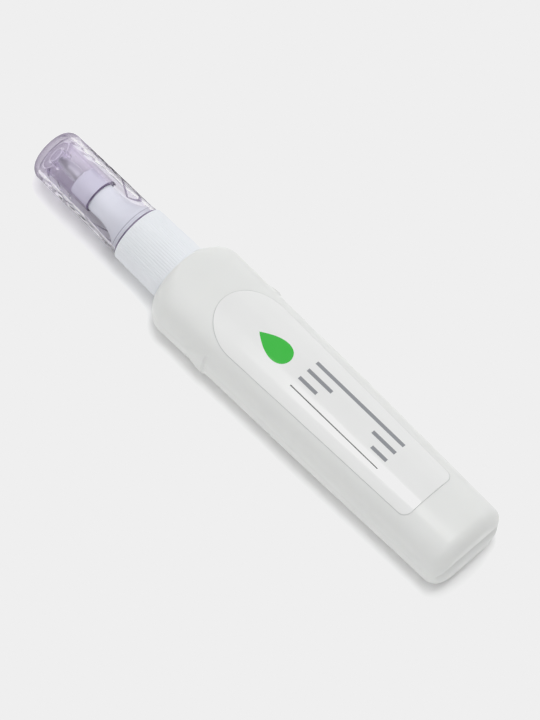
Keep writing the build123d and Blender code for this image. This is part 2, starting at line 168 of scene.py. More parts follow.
class RingSkin:
    """Collects rings with equal numbers of points and joins each to the next."""

    def __init__(self) -> None:
        """Start with no points."""
        self.points: list[Point] = []
        self.faces: list[tuple[int, ...]] = []
        self.last: list[int] = []

    def ring(self, points: list[Point]) -> None:
        """Add a ring and join it to the one before.

        Args:
            points: The ring's points in millimetres, in order.
        """
        start = len(self.points)
        self.points.extend(points)
        here = list(range(start, start + len(points)))
        if len(self.last) == 1:
            pole = self.last[0]
            self.faces += [(pole, b, a) for a, b in zip(here, here[1:] + here[:1])]
        elif self.last:
            self.join(here)
        self.last = here

    def join(self, ring: list[int]) -> None:
        """Join the last ring to another one.

        Args:
            ring: The other ring's point numbers.
        """
        old = self.last
        for index in range(len(ring)):
            after = (index + 1) % len(ring)
            self.faces.append((old[index], old[after], ring[after], ring[index]))

    def pole(self, point: Point) -> None:
        """Add a single point that starts the skin or closes its last ring.

        Args:
            point: The pole in millimetres.
        """
        index = len(self.points)
        self.points.append(point)
        if self.last:
            ring = self.last
            self.faces += [(index, a, b) for a, b in zip(ring, ring[1:] + ring[:1])]
        self.last = [index]

    def join_ends(self) -> None:
        """Join the last ring to the first one."""
        self.join(list(range(len(self.last))))


def mesh_piece(
    name: str,
    points: list[Point],
    faces: list[tuple[int, ...]],
    material: Material,
    sharp_angle: float = 35.0,
) -> Piece:
    """Make a closed piece from points and faces.

    Args:
        name: The piece's name.
        points: Its points in millimetres.
        faces: Its faces as point numbers.
        material: Its finish.
        sharp_angle: Edges that turn by more than this many degrees stay sharp.

    Returns:
        The piece, linked to the scene.
    """
    mesh = bpy.data.meshes.new(name)
    mesh.from_pydata([Vector(point) * MM for point in points], [], faces)
    shape = bmesh.new()
    shape.from_mesh(mesh)
    bmesh.ops.remove_doubles(shape, verts=shape.verts, dist=WELD_DISTANCE)
    bmesh.ops.recalc_face_normals(shape, faces=shape.faces)
    shape.to_mesh(mesh)
    shape.free()
    mesh.shade_smooth()
    mesh.set_sharp_from_angle(angle=radians(sharp_angle))
    mesh.materials.append(material)
    return linked(name, mesh)


def settle(piece: Piece, body: Body, slot: Slot, *nodes: str) -> None:
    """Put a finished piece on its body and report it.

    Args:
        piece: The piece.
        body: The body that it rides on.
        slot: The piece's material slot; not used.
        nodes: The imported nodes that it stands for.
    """
    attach(piece, body.value)
    if nodes:
        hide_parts(*nodes)
    LOG.info("%s: %d faces on %s", piece.name, len(piece.data.polygons), body.value)


class NodeSketch:
    """A node tree, with short calls that add nodes and feed their inputs."""

    def __init__(self, tree: bpy.types.NodeTree) -> None:
        """Work on a tree."""
        self.tree = tree

    def feed(self, target: Socket, value: object) -> None:
        """Set an input to a value, or link a socket to it.

        Args:
            target: The input.
            value: A socket, a colour or any other value that the input takes.
        """
        if isinstance(value, Socket):
            self.tree.links.new(value, target)
        elif isinstance(value, tuple) and target.type == "RGBA":
            target.default_value = (*value, 1.0)
        else:
            target.default_value = value

    def fill(self, node: bpy.types.Node, **inputs: object) -> None:
        """Feed a node's inputs, named with _ for a space."""
        for key, value in inputs.items():
            self.feed(node.inputs[key.replace("_", " ")], value)

    def add(self, kind: str, output: int | str = 0, **inputs: object) -> Socket:
        """Add a node and feed its inputs.

        Args:
            kind: Blender's name for the node.
            output: The output to read.
            inputs: Values or sockets for its inputs, named with _ for a space.

        Returns:
            The output's socket.
        """
        made = self.tree.nodes.new(kind)
        self.fill(made, **inputs)
        return made.outputs[output]

    def math(self, operation: str, first: object, second: object = 0.0) -> Socket:
        """Add a Math node.

        Args:
            operation: The sum to do.
            first: Its first number or socket.
            second: Its second number or socket.

        Returns:
            The result's socket.
        """
        made = self.tree.nodes.new("ShaderNodeMath")
        made.operation = operation
        self.feed(made.inputs[0], first)
        self.feed(made.inputs[1], second)
        return made.outputs[0]


class FinishSketch(NodeSketch):
    """A material's node tree, with calls for the patterns that the finishes share."""

    pattern_low: float = 0.3
    pattern_high: float = 0.7

    def __init__(self, name: str) -> None:
        """Make the material with its shader.

        Args:
            name: The material's name.
        """
        self.material = bpy.data.materials.new(name)
        self.material.use_nodes = True
        super().__init__(self.material.node_tree)
        self.shader = self.tree.nodes["Principled BSDF"]
        self.output = self.tree.nodes["Material Output"]
        self.place = self.add("ShaderNodeTexCoord", "Object")

    def noise(self, scale: float, detail: float = 2.0, stretch: Colour = (1.0, 1.0, 1.0)) -> Socket:
        """A noise pattern from 0 to 1, by cycles per metre, finer layers and fineness along each axis."""
        place = self.add("ShaderNodeMapping", Vector=self.place, Scale=stretch)
        return self.add("ShaderNodeTexNoise", "Fac", Vector=place, Scale=scale, Detail=detail)

    def range(self, value: Socket, low: float = 0.0, high: float = 1.0) -> Socket:
        """Spread a pattern's middle over a range.

        Args:
            value: The pattern, from 0 to 1.
            low: What its low parts become.
            high: What its high parts become.

        Returns:
            The spread pattern.
        """
        return self.add(
            "ShaderNodeMapRange",
            Value=value,
            From_Min=self.pattern_low,
            From_Max=self.pattern_high,
            To_Min=low,
            To_Max=high,
        )

    def mix(self, share: object, first: object, second: object) -> Socket:
        """Mix two colours.

        Args:
            share: The second colour's share.
            first: The colour where the share is 0.
            second: The colour where the share is 1.

        Returns:
            The mixed colour.
        """
        made = self.tree.nodes.new("ShaderNodeMix")
        made.data_type = "RGBA"
        for index, value in ((0, share), (6, first), (7, second)):
            self.feed(made.inputs[index], value)
        return made.outputs[2]

    def bump(self, height: Socket, depth: float) -> None:
        """Raise the surface by a pattern whose highest part stands up by depth, in metres."""
        self.fill(self.shader, Normal=self.add("ShaderNodeBump", Distance=depth, Height=height))


@dataclass(frozen=True)
class MouldedPlastic:
    """An opaque moulded plastic with faint clouding and a fine skin."""

    name: str
    colour: Colour
    cloud: Colour
    roughness: tuple[float, float]
    grain_scale: float
    grain_depth: float
    cloud_scale: float = 110.0
    glow: float = 0.0
    glow_radius: Colour = (1.0, 1.0, 0.9)
    glow_scale: float = 0.0012
    wear_fineness: float = 4.0
    bending: float = 1.49

    def build(self) -> Material:
        """Make the material.

        Returns:
            The material.
        """
        sketch = FinishSketch(self.name)
        clouds = sketch.range(sketch.noise(self.cloud_scale, 3.0))
        wear = sketch.range(sketch.noise(self.cloud_scale * self.wear_fineness), *self.roughness)
        colour = sketch.mix(clouds, self.colour, self.cloud)
        sketch.fill(sketch.shader, Base_Color=colour, Roughness=wear, IOR=self.bending)
        sketch.bump(sketch.noise(self.grain_scale), self.grain_depth)
        if self.glow:
            sketch.fill(
                sketch.shader,
                Subsurface_Weight=self.glow,
                Subsurface_Radius=self.glow_radius,
                Subsurface_Scale=self.glow_scale,
            )
        return sketch.material


@dataclass(frozen=True)
class ClearPlastic:
    """A clear tinted moulding whose tint deepens towards grazing views, partly for the longer path through
    the wall and partly as painted shade at its rims, and that lets a share of the light go straight on.
    """

    name: str
    tint: Colour
    rim_tint_and_shade: Colour
    straight_share: float = 0.0
    edge_falloff: float = 2.0
    light_share: float = 0.5
    bending: float = 1.1
    roughness: tuple[float, float] = (0.003, 0.009)
    film_scale: float = 260.0
    wave_scale: float = 90.0
    wave_depth: float = 0.000006

    def build(self) -> Material:
        """Make the material.

        Returns:
            The material.
        """
        sketch = FinishSketch(self.name)
        # partly painted shade: the colour moves towards the rim tint as the surface turns away from the
        # view
        facing = sketch.add("ShaderNodeLayerWeight", "Facing", Blend=0.5)
        slant = sketch.math("POWER", facing, self.edge_falloff)
        colour = sketch.mix(slant, self.tint, self.rim_tint_and_shade)
        film = sketch.range(sketch.noise(self.film_scale), *self.roughness)
        sketch.fill(
            sketch.shader, Base_Color=colour, Roughness=film, IOR=self.bending, Transmission_Weight=1.0
        )
        sketch.bump(sketch.noise(self.wave_scale, 1.0), self.wave_depth)
        shadow_ray = sketch.add("ShaderNodeLightPath", "Is Shadow Ray")
        lit = sketch.math("MULTIPLY", shadow_ray, self.light_share)
        blend = sketch.tree.nodes.new("ShaderNodeMixShader")
        sketch.feed(blend.inputs["Fac"], sketch.math("MAXIMUM", lit, self.straight_share))
        sketch.feed(blend.inputs[1], sketch.shader.outputs[0])
        sketch.feed(blend.inputs[2], sketch.add("ShaderNodeBsdfTransparent", Color=colour))
        sketch.fill(sketch.output, Surface=blend.outputs[0])
        return sketch.material


@dataclass(frozen=True)
class TurnedSteel:
    """A bright metal with fine lines left by turning or drawing."""

    name: str
    colour: Colour
    shade: Colour
    roughness: tuple[float, float]
    line_scale: float
    line_stretch: Colour = (0.05, 1.0, 0.05)
    line_depth: float = 0.000002
    patch_scale: float = 500.0

    def build(self) -> Material:
        """Make the material.

        Returns:
            The material.
        """
        sketch = FinishSketch(self.name)
        lines = sketch.noise(self.line_scale, 3.0, self.line_stretch)
        patches = sketch.range(sketch.noise(self.patch_scale))
        colour = sketch.mix(patches, self.colour, self.shade)
        wear = sketch.range(lines, *self.roughness)
        sketch.fill(sketch.shader, Base_Color=colour, Roughness=wear, Metallic=1.0)
        sketch.bump(lines, self.line_depth)
        return sketch.material


@dataclass(frozen=True)
class PrintedBar:
    """One straight bar of the label's print, in millimetres on the label."""

    middle_x: float
    middle_y: float
    width: float
    length: float


@dataclass(frozen=True)
class LabelFilm:
    """A glossy white film with ruled lines, a corrected gap and a drop printed on it."""

    name: str
    white: Colour = (0.83, 0.835, 0.83)
    shade: float = 0.985
    ink_grey: Colour = (0.27, 0.28, 0.30)
    ink_dark: Colour = (0.02, 0.02, 0.025)
    ink_green: Colour = (0.03, 0.50, 0.04)
    grey_bars: tuple[PrintedBar, ...] = (
        PrintedBar(4.2, -27.0, 0.9, 27.0),
        PrintedBar(1.5, -17.2, 0.9, 7.4),
        PrintedBar(1.5, -37.0, 0.9, 7.0),
        PrintedBar(-1.2, -16.2, 0.9, 5.4),
        PrintedBar(-1.2, -38.2, 0.9, 4.6),
    )
    dark_bar: PrintedBar = PrintedBar(-3.9, -27.0, 0.28, 27.0)
    drop_x: float = 0.0
    drop_y: float = 0.2
    drop_length: float = 9.6
    drop_width: float = 5.6
    drop_fullness: float = 1.3
    cloud_scale: float = 90.0
    film_scale: float = 300.0
    roughness: tuple[float, float] = (0.16, 0.22)
    wave_scale: float = 70.0
    wave_depth: float = 0.000012
    bending: float = 1.5

    def bar(self, sketch: FinishSketch, axes: list[Socket], bar: PrintedBar) -> Socket:
        """Mask one bar.

        Args:
            sketch: The material's nodes.
            axes: The x and y places on the label.
            bar: The bar.

        Returns:
            1 on the bar and 0 elsewhere.
        """
        sides = []
        for axis, middle, size in zip(axes, (bar.middle_x, bar.middle_y), (bar.width, bar.length)):
            off = sketch.math("ABSOLUTE", sketch.math("SUBTRACT", axis, middle * MM))
            sides.append(sketch.math("LESS_THAN", off, size / 2 * MM))
        return sketch.math("MULTIPLY", *sides)

    def drop(self, sketch: FinishSketch, axes: list[Socket]) -> Socket:
        """Mask the drop, round towards the base and pointed towards the cap.

        Args:
            sketch: The material's nodes.
            axes: The x and y places on the label.

        Returns:
            1 on the drop and 0 elsewhere.
        """
        start = (self.drop_y - self.drop_length) * MM
        along = sketch.math("DIVIDE", sketch.math("SUBTRACT", axes[1], start), self.drop_length * MM)
        round_end = sketch.math("SQRT", sketch.math("MAXIMUM", along, 0.0))
        taper = sketch.math("MULTIPLY", round_end, sketch.math("SUBTRACT", 1.0, along))
        half = sketch.math("MULTIPLY", taper, self.drop_fullness * self.drop_width * MM)
        off = sketch.math("ABSOLUTE", sketch.math("SUBTRACT", axes[0], self.drop_x * MM))
        return sketch.math("LESS_THAN", off, half)

    def build(self) -> Material:
        """Make the material.

        Returns:
            The material.
        """
        sketch = FinishSketch(self.name)
        axes = [sketch.add("ShaderNodeSeparateXYZ", axis, Vector=sketch.place) for axis in "XY"]
        clouds = sketch.range(sketch.noise(self.cloud_scale))
        colour = sketch.mix(clouds, self.white, tuple(self.shade * level for level in self.white))
        for bar in self.grey_bars:
            colour = sketch.mix(self.bar(sketch, axes, bar), colour, self.ink_grey)
        colour = sketch.mix(self.bar(sketch, axes, self.dark_bar), colour, self.ink_dark)
        colour = sketch.mix(self.drop(sketch, axes), colour, self.ink_green)
        gloss = sketch.range(sketch.noise(self.film_scale), *self.roughness)
        sketch.fill(sketch.shader, Base_Color=colour, Roughness=gloss, IOR=self.bending)
        sketch.bump(sketch.noise(self.wave_scale, 1.0), self.wave_depth)
        return sketch.material


@dataclass
class Bottle:
    """The blow-moulded squeeze bottle with its finger stops, parting line and pinched base."""

    places: Places
    shoulder_width: float = 23.9
    middle_width: float = 22.95
    base_width: float = 21.2
    thickness: float = 15.6
    side_radius: float = 6.4
    ring_radius: float = 7.7
    ring_flat: float = 0.1
    ring_edge: float = 0.3
    ring_blend: int = 8
    shoulder_angle: float = 74.0
    wall: float = 1.0
    base_wall: float = 1.6
    base_round: float = 3.3
    pinch_depth: float = 1.1
    pinch_round: float = 4.0
    stop_front: float = 11.5
    stop_length: float = 7.6
    stop_proud: float = 0.4
    stop_height: float = 9.0
    stop_edge: float = 0.35
    stop_swell: float = 0.6
    seam_proud: float = 0.05
    seam_share: float = 0.2
    least_flat: float = 0.01
    side_facing: float = 0.6
    back_facing: float = 0.99
    unevenness: float = 0.05
    crown_depth: float = 0.5
    crown_place: float = 7.6
    crown_reach: float = 5.6
    crown_fade: tuple[float, float] = (1.5, 6.5)
    neck_radius: float = 6.2
    neck_wall: float = 1.0
    neck_length: float = 11.6
    corner_steps: int = 22
    body_steps: int = 96
    coarse_share: float = 0.6
    base_steps: int = 12
    shoulder_steps: int = 18
    ring_steps: int = 4
    chamber_steps: int = 6
    chamber_shoulder_steps: int = 8
    side_shares: tuple[float, ...] = (0.0, 0.09, 0.2, 0.55)
    top_shares: tuple[float, ...] = (0.8, 0.6, 0.4, 0.2, 0.0)

    def __post_init__(self) -> None:
        """Work out the shoulder's arc and the half height of the base's groove."""
        self.rise = self.shoulder_width / 2 - self.ring_radius
        self.arc_radius = self.rise / (1 - cos(radians(self.shoulder_angle)))
        self.pinch_half = sqrt(2 * self.pinch_round * self.pinch_depth - self.pinch_depth ** 2)
        self.shoulder_y = self.places.ring_y - self.arc_radius * sin(radians(self.shoulder_angle))

    def half_width(self, y: float) -> float:
        """Half the bottle's width behind the shoulder.

        Args:
            y: The place along the pen.

        Returns:
            The half width in millimetres.
        """
        middle_y = (self.shoulder_y + self.places.base_y) / 2
        half_run = middle_y - self.places.base_y
        if y > middle_y:
            share = (self.shoulder_y - y) / half_run
            return (self.shoulder_width + (self.middle_width - self.shoulder_width) * share) / 2
        share = (middle_y - y) / half_run
        return (self.middle_width + (self.base_width - self.middle_width) * share) / 2

    def top_height(self, x: float, y: float) -> float:
        """The front panel's height above the pen's axis.

        Args:
            x: The place across the pen.
            y: The place along the pen.

        Returns:
            The height in millimetres.
        """
        over = abs(x) - (self.half_width(y) - self.side_radius)
        height = self.thickness / 2
        if over > 0:
            height -= self.side_radius - sqrt(self.side_radius ** 2 - over ** 2)
        return height - self.sink(x, y, height) - self.crown(x, height)

    def crown(self, x: float, z: float) -> float:
        """How far the front panel falls away on both sides of its middle."""
        off = (abs(x) - self.crown_place) / self.crown_reach
        return self.crown_depth * max(1 - off * off, 0.0) ** 2 * smooth_step(*self.crown_fade, z)

    def sink(self, x: float, y: float, z: float) -> float:
        """How far the skin lies inside the true form, in slow waves from uneven cooling."""
        wave = sin(0.21 * y + 0.9) * cos(0.33 * x + 0.17 * y) + 0.6 * sin(0.47 * y - 0.29 * x + 0.4 * z)
        return self.unevenness * (1.6 + wave) / 3.2

    def section(self, half_width: float, half_height: float, corner: float) -> list[tuple[float, ...]]:
        """A section with rounded corners, counted round from the middle of the +X side.

        Args:
            half_width: Half the section's width.
            half_height: Half the section's height.
            corner: The radius of its corners.

        Returns:
            Tuples of x, height above the axis, and the outward direction there.
        """
        flat_x = half_width - corner
        flat_z = half_height - corner
        first = [(half_width, share * flat_z, 1.0, 0.0) for share in self.side_shares]
        for angle in [0.0] + quarter_turn(self.corner_steps):
            across, up = cos(angle), sin(angle)
            first.append((flat_x + corner * across, flat_z + corner * up, across, up))
        first += [(share * flat_x, half_height, 0.0, 1.0) for share in self.top_shares]
        second = [(-x, z, -across, up) for x, z, across, up in reversed(first)]
        third = [(-x, -z, -across, -up) for x, z, across, up in first]
        fourth = [(x, -z, across, -up) for x, z, across, up in reversed(first)]
        return first[:-1] + second[:-1] + third[:-1] + fourth[:-1]

    def form_sizes(self, share: float, half_width: float, offset: float) -> tuple[float, float, float]:
        """The sizes of a section between the round ring and the full oval.

        Args:
            share: 0 at the ring and 1 at the full oval.
            half_width: Half the section's width.
            offset: How far the form is grown.

        Returns:
            The half width, half height and corner radius.
        """
        ring_corner = self.ring_radius - self.ring_flat / 2
        half_height = self.ring_radius + (self.thickness / 2 - self.ring_radius) * share
        corner = ring_corner + (self.side_radius - ring_corner) * share
        return half_width + offset, half_height + offset, corner + offset

    def stop_rise(self, y: float, z: float) -> float:
        """How far a finger stop stands off the narrow side.

        Args:
            y: The place along the pen.
            z: The height above the pen's axis.

        Returns:
            The height in millimetres.
        """
        run = (self.places.ring_y - self.stop_front - y) / self.stop_length
        if run <= 0:
            return 0.0
        half = self.stop_height / 2 * min(run, 1.0)
        across = smooth_step(half + self.stop_edge / 2, half - self.stop_edge / 2, abs(z))
        rear = smooth_step(1 + self.stop_edge / self.stop_length, 1.0, run)
        return self.stop_proud * min(run, 1.0) ** self.stop_swell * across * rear

    def detailed_ring(self, y: float, sizes: tuple[float, float, float], share: float) -> list[Point]:
        """A ring of the outer skin with its stops, parting line and unevenness.

        Args:
            y: The place along the pen.
            sizes: The section's sizes.
            share: 0 at the ring and 1 at the full oval.

        Returns:
            The ring's points.
        """
        ring = []
        narrow = max(sizes[1] - sizes[2], self.least_flat)
        for x, z, across, up in self.section(*sizes):
            rise = -self.sink(x, y, z) * share
            if abs(across) > self.side_facing:
                seam = self.seam_proud * share * smooth_step(self.seam_share, 0.0, abs(z) / narrow)
                rise += max(self.stop_rise(y, z), seam)
            if up < -self.back_facing:
                rise = 0.0
            height = z + up * rise - self.crown(x, z) * share
            ring.append((x + across * rise, y, self.places.axis_z + height))
        return ring

    def groove(self, z: float) -> float:
        """How deep the pinched groove across the base is, by the height above the pen's axis."""
        inside = max(self.pinch_half - abs(z), 0.0)
        return self.pinch_round - sqrt(self.pinch_round ** 2 - inside ** 2)

    def base_rings(self, offset: float, base_y: float, pinched: bool, steps: int) -> list[list[Point]]:
        """The rings of the base, from its middle line to the end of its rounded edge.

        Args:
            offset: How far the form is grown.
            base_y: Where the base lies.
            pinched: Whether the base has its groove.
            steps: The rings on the flat and on the rounded edge.

        Returns:
            The rings.
        """
        edge = self.base_round + offset
        half_width, half_height, corner = self.form_sizes(1.0, self.base_width / 2, offset)
        rings = []
        inner = self.section(half_width - edge, half_height - edge, corner - edge)
        reach = half_width - half_height
        for step in range(steps):
            share = step / steps
            ring = []
            for x, z, _, _ in inner:
                line_x = min(max(x, -reach), reach)
                ring.append((line_x + (x - line_x) * share, z * share, base_y))
            rings.append(ring)
        for step in range(steps + 1):
            angle = pi / 2 * (1 - step / steps)
            inset = edge * (1 - cos(angle))
            y = base_y + edge * (1 - sin(angle))
            widened = half_width + self.half_width(y) - self.base_width / 2
            ring = self.section(widened - inset, half_height - inset, corner - inset)
            rings.append([(x, z, y) for x, z, _, _ in ring])
        axis_z = self.places.axis_z
        if not pinched:
            return [[(x, y, axis_z + z) for x, z, y in ring] for ring in rings]
        return [
            [(x, max(y, base_y + self.groove(z)), axis_z + z - self.crown(x, z)) for x, z, y in ring]
            for ring in rings
        ]

    def shoulder_stations(self, steps: int) -> list[tuple[float, float, float]]:
        """Stations along the shoulder's arc, from the full width to the ring.

        Args:
            steps: How many steps the arc has.

        Returns:
            Tuples of y, half width and the share of the full oval.
        """
        stations = []
        turn = radians(self.shoulder_angle)
        for step in range(1, steps + 1):
            angle = turn * step / steps
            y = self.places.ring_y - self.arc_radius * (sin(turn) - sin(angle))
            half_width = self.ring_radius + self.arc_radius * (cos(angle) - cos(turn))
            stations.append((y, half_width, (half_width - self.ring_radius) / self.rise))
        return stations

    def round_ring(self, radius: float, y: float) -> list[Point]:
        """A round ring with as many points as the sections have.

        Args:
            radius: Its radius.
            y: The place along the pen.

        Returns:
            The ring's points.
        """
        ring = []
        for x, z, _, _ in self.section(*self.form_sizes(0.0, self.ring_radius, 0.0)):
            reach = radius / hypot(x, z)
            ring.append((x * reach, y, self.places.axis_z + z * reach))
        return ring

    def body_places(self) -> list[float]:
        """Stations along the straight body, closer together at the finger stops.

        Returns:
            The places along the pen, from the base's rounded edge to the shoulder.
        """
        start_y = self.places.base_y + self.base_round
        stop_y = self.places.ring_y - self.stop_front - self.stop_length
        fine_start = stop_y - 2 * self.stop_edge
        coarse = int(self.body_steps * self.coarse_share)
        fine = self.body_steps - coarse
        places = [start_y + (fine_start - start_y) * step / coarse for step in range(1, coarse)]
        places += [fine_start + (self.shoulder_y - fine_start) * step / fine for step in range(fine + 1)]
        return places

    def inner_ring(self, y: float, half_width: float, share: float) -> list[Point]:
        """A ring of the chamber's wall, by the outer half width and the share of the full oval."""
        sizes = self.form_sizes(share, half_width, -self.wall)
        return [(x, y, self.places.axis_z + z) for x, z, _, _ in self.section(*sizes)]

    def build(self, material: Material) -> Piece:
        """Make the bottle as a hollow shell, from its base to its neck and back inside.

        Args:
            material: The bottle's plastic.

        Returns:
            The piece.
        """
        ring_y = self.places.ring_y
        skin = RingSkin()
        for ring in self.base_rings(0.0, self.places.base_y, True, self.base_steps):
            skin.ring(ring)
        for y in self.body_places():
            skin.ring(self.detailed_ring(y, self.form_sizes(1.0, self.half_width(y), 0.0), 1.0))
        for y, half_width, share in self.shoulder_stations(self.shoulder_steps):
            y = min(y, ring_y - self.ring_edge * (1 - share) ** self.ring_blend)
            skin.ring(self.detailed_ring(y, self.form_sizes(share, half_width, 0.0), share))
        for angle in quarter_turn(self.ring_steps):
            drop = self.ring_edge * (1 - cos(angle))
            skin.ring(self.round_ring(self.ring_radius - drop, ring_y - self.ring_edge * (1 - sin(angle))))
        neck_end = ring_y + self.neck_length
        bore = self.neck_radius - self.neck_wall
        neck = [(self.neck_radius, ring_y), (self.neck_radius, neck_end)]
        for radius, y in neck + [(bore, neck_end), (bore, ring_y - self.wall)]:
            skin.ring(self.round_ring(radius, y))
        for y, half_width, share in reversed(self.shoulder_stations(self.chamber_shoulder_steps)[:-1]):
            skin.ring(self.inner_ring(y - self.wall, half_width, share))
        inner_base = self.places.base_y + self.base_wall
        rings = self.base_rings(-self.wall, inner_base, False, self.chamber_steps)
        for y in (self.shoulder_y - self.wall, (self.shoulder_y + inner_base) / 2):
            skin.ring(self.inner_ring(y, self.half_width(y), 1.0))
        for ring in reversed(rings):
            skin.ring(ring)
        return mesh_piece("bottle_shell", skin.points, skin.faces, material)


@dataclass
class Label:
    """The self-adhesive label on the bottle's front panel."""

    bottle: Bottle
    setback: float = 12.8
    length: float = 63.8
    front_width: float = 17.2
    rear_width: float = 14.6
    arch: float = 10.4
    corner: float = 2.0
    thickness: float = 0.1
    glue: float = 0.02
    bevel: float = 0.14
    columns: int = 48
    corner_rows: int = 8
    straight_rows: int = 40
    arch_rows: int = 24
    sharp_angle: float = 20.0

    def __post_init__(self) -> None:
        """Work out where the label's parts lie along the pen."""
        front_y = self.bottle.places.ring_y - self.setback
        self.arch_y = front_y - self.arch
        self.rear_y = front_y - self.length

    def half_width(self, y: float) -> float:
        """Half the label's width.

        Args:
            y: The place along the pen.

        Returns:
            The half width in millimetres.
        """
        if y > self.arch_y:
            rise = min((y - self.arch_y) / self.arch, 1.0)
            return self.front_width / 2 * sqrt(1 - rise * rise)
        share = (self.arch_y - y) / (self.arch_y - self.rear_y)
        half = (self.front_width + (self.rear_width - self.front_width) * share) / 2
        into = self.corner - (y - self.rear_y)
        if into > 0:
            half -= self.corner - sqrt(max(self.corner ** 2 - into ** 2, 0.0))
        return half

    def rows(self) -> list[float]:
        """Places along the label, closer together at its arch and rear corners.

        Returns:
            The places along the pen, from rear to front.
        """
        corner_y = self.rear_y + self.corner
        straight = self.arch_y - corner_y
        turns = [0.0] + quarter_turn(self.corner_rows)[:-1]
        rows = [self.rear_y + self.corner * (1 - cos(turn)) for turn in turns]
        rows += [corner_y + straight * step / self.straight_rows for step in range(self.straight_rows)]
        turns = [0.0] + quarter_turn(self.arch_rows)
        rows += [self.arch_y + self.arch * sin(turn) for turn in turns]
        return rows

    def build(self, material: Material, edge_material: Material) -> Piece:
        """Make the label as a thin film that follows the panel, with a bevelled edge.

        Args:
            material: The printed film.
            edge_material: A grey for the film's bevelled rim, painted shade for the thin shadow line along
                the label's edge.

        Returns:
            The piece.
        """
        points: list[Point] = []
        faces: list[tuple[int, ...]] = []
        rows = self.rows()
        middle_y = (rows[0] + rows[-1]) / 2
        across = self.columns + 1
        for lift, wider in ((self.glue, self.bevel), (self.glue + self.thickness, 0.0)):
            for row_y in rows:
                half = self.half_width(row_y)
                half += min(wider, half)
                y = middle_y + (row_y - middle_y) * (1 + 2 * wider / self.length)
                for column in range(across):
                    x = half * (2 * column / self.columns - 1)
                    points.append((x, y, self.bottle.places.axis_z + self.bottle.top_height(x, y) + lift))
        layer = across * len(rows)
        for row in range(len(rows) - 1):
            for column in range(self.columns):
                a = row * across + column
                b = a + across
                faces.append((a, b, b + 1, a + 1))
                faces.append((a + layer, a + layer + 1, b + layer + 1, b + layer))
        rim = [row * across for row in range(len(rows))]
        rim += [(len(rows) - 1) * across + column for column in range(1, across)]
        rim += [row * across + self.columns for row in range(len(rows) - 2, -1, -1)]
        rim += list(range(self.columns - 1, 0, -1))
        for a, b in zip(rim, rim[1:] + rim[:1]):
            faces.append((a, b, b + layer, a + layer))
        piece = mesh_piece("panel_label", points, faces, material, self.sharp_angle)
        piece.data.materials.append(edge_material)
        # painted shade: the bevelled rim's upward faces take the grey, a thin dark outline round the label
        for face in piece.data.polygons:
            x, y, _ = face.center / MM
            if face.normal.z > 0 and (y < rows[0] or abs(x) > self.half_width(y)):
                face.material_index = 1
        return piece


def turned_piece(name: str, outline: Outline, axis_z: float, steps: int, material: Material) -> Piece:
    """Turn a closed half section about the pen's axis.

    Args:
        name: The piece's name.
        outline: Pairs of radius and place along the pen.
        axis_z: The axis's height.
        steps: The steps of a full turn.
        material: The piece's finish.

    Returns:
        The piece.
    """
    turns = full_turn(steps)
    skin = RingSkin()
    for radius, y in outline:
        skin.ring([(radius * cos(turn), y, axis_z + radius * sin(turn)) for turn in turns])
    skin.join_ends()
    return mesh_piece(name, skin.points, skin.faces, material)


class ShapeTree(NodeSketch):
    """A Geometry Nodes tree with named sizes, which is run once and kept as a plain mesh."""

    profile_steps: int = 12
    sharp_angle: float = 50.0

    def __init__(self, name: str, sizes: dict[str, float]) -> None:
        """Start the tree.

        Args:
            name: The name of the piece that it makes.
            sizes: Its sizes by name, in metres, or whole numbers for counts.
        """
        super().__init__(bpy.data.node_groups.new(name, "GeometryNodeTree"))
        self.name = name
        self.sizes = sizes
        self.tree.interface.new_socket("Geometry", in_out="INPUT", socket_type="NodeSocketGeometry")
        for key, value in sizes.items():
            kind = "NodeSocketInt" if isinstance(value, int) else "NodeSocketFloat"
            self.tree.interface.new_socket(key, in_out="INPUT", socket_type=kind)
        self.tree.interface.new_socket("Geometry", in_out="OUTPUT", socket_type="NodeSocketGeometry")
        self.given = self.tree.nodes.new("NodeGroupInput").outputs

    def sweep(self, path: Socket, radius: Socket) -> Socket:
        """Sweep a round section along a path.

        Args:
            path: The path's curve.
            radius: The section's radius.

        Returns:
            The swept mesh.
        """
        section = self.add(
            "GeometryNodeCurvePrimitiveCircle", Resolution=self.profile_steps, Radius=radius
        )
        return self.add("GeometryNodeCurveToMesh", Curve=path, Profile_Curve=section, Fill_Caps=True)

    def bake(self, shape: Socket, material: Material) -> Piece:
        """Finish the tree, run it and keep its mesh.

        Args:
            shape: The socket that holds the shape.
            material: The piece's finish.

        Returns:
            The piece, linked to the scene.
        """
        real = self.add("GeometryNodeRealizeInstances", Geometry=shape)
        dressed = self.add("GeometryNodeSetMaterial", Geometry=real, Material=material)
        self.fill(self.tree.nodes.new("NodeGroupOutput"), Geometry=dressed)
        piece = linked(self.name, bpy.data.meshes.new(self.name))
        modifier = piece.modifiers.new("shape", "NODES")
        modifier.node_group = self.tree
        for item in self.tree.interface.items_tree:
            if item.in_out == "INPUT" and item.name in self.sizes:
                modifier[item.identifier] = self.sizes[item.name]
        evaluated = piece.evaluated_get(bpy.context.evaluated_depsgraph_get())
        mesh = bpy.data.meshes.new_from_object(evaluated)
        piece.modifiers.clear()
        piece.data = mesh
        mesh.shade_smooth()
        mesh.set_sharp_from_angle(angle=radians(self.sharp_angle))
        return piece


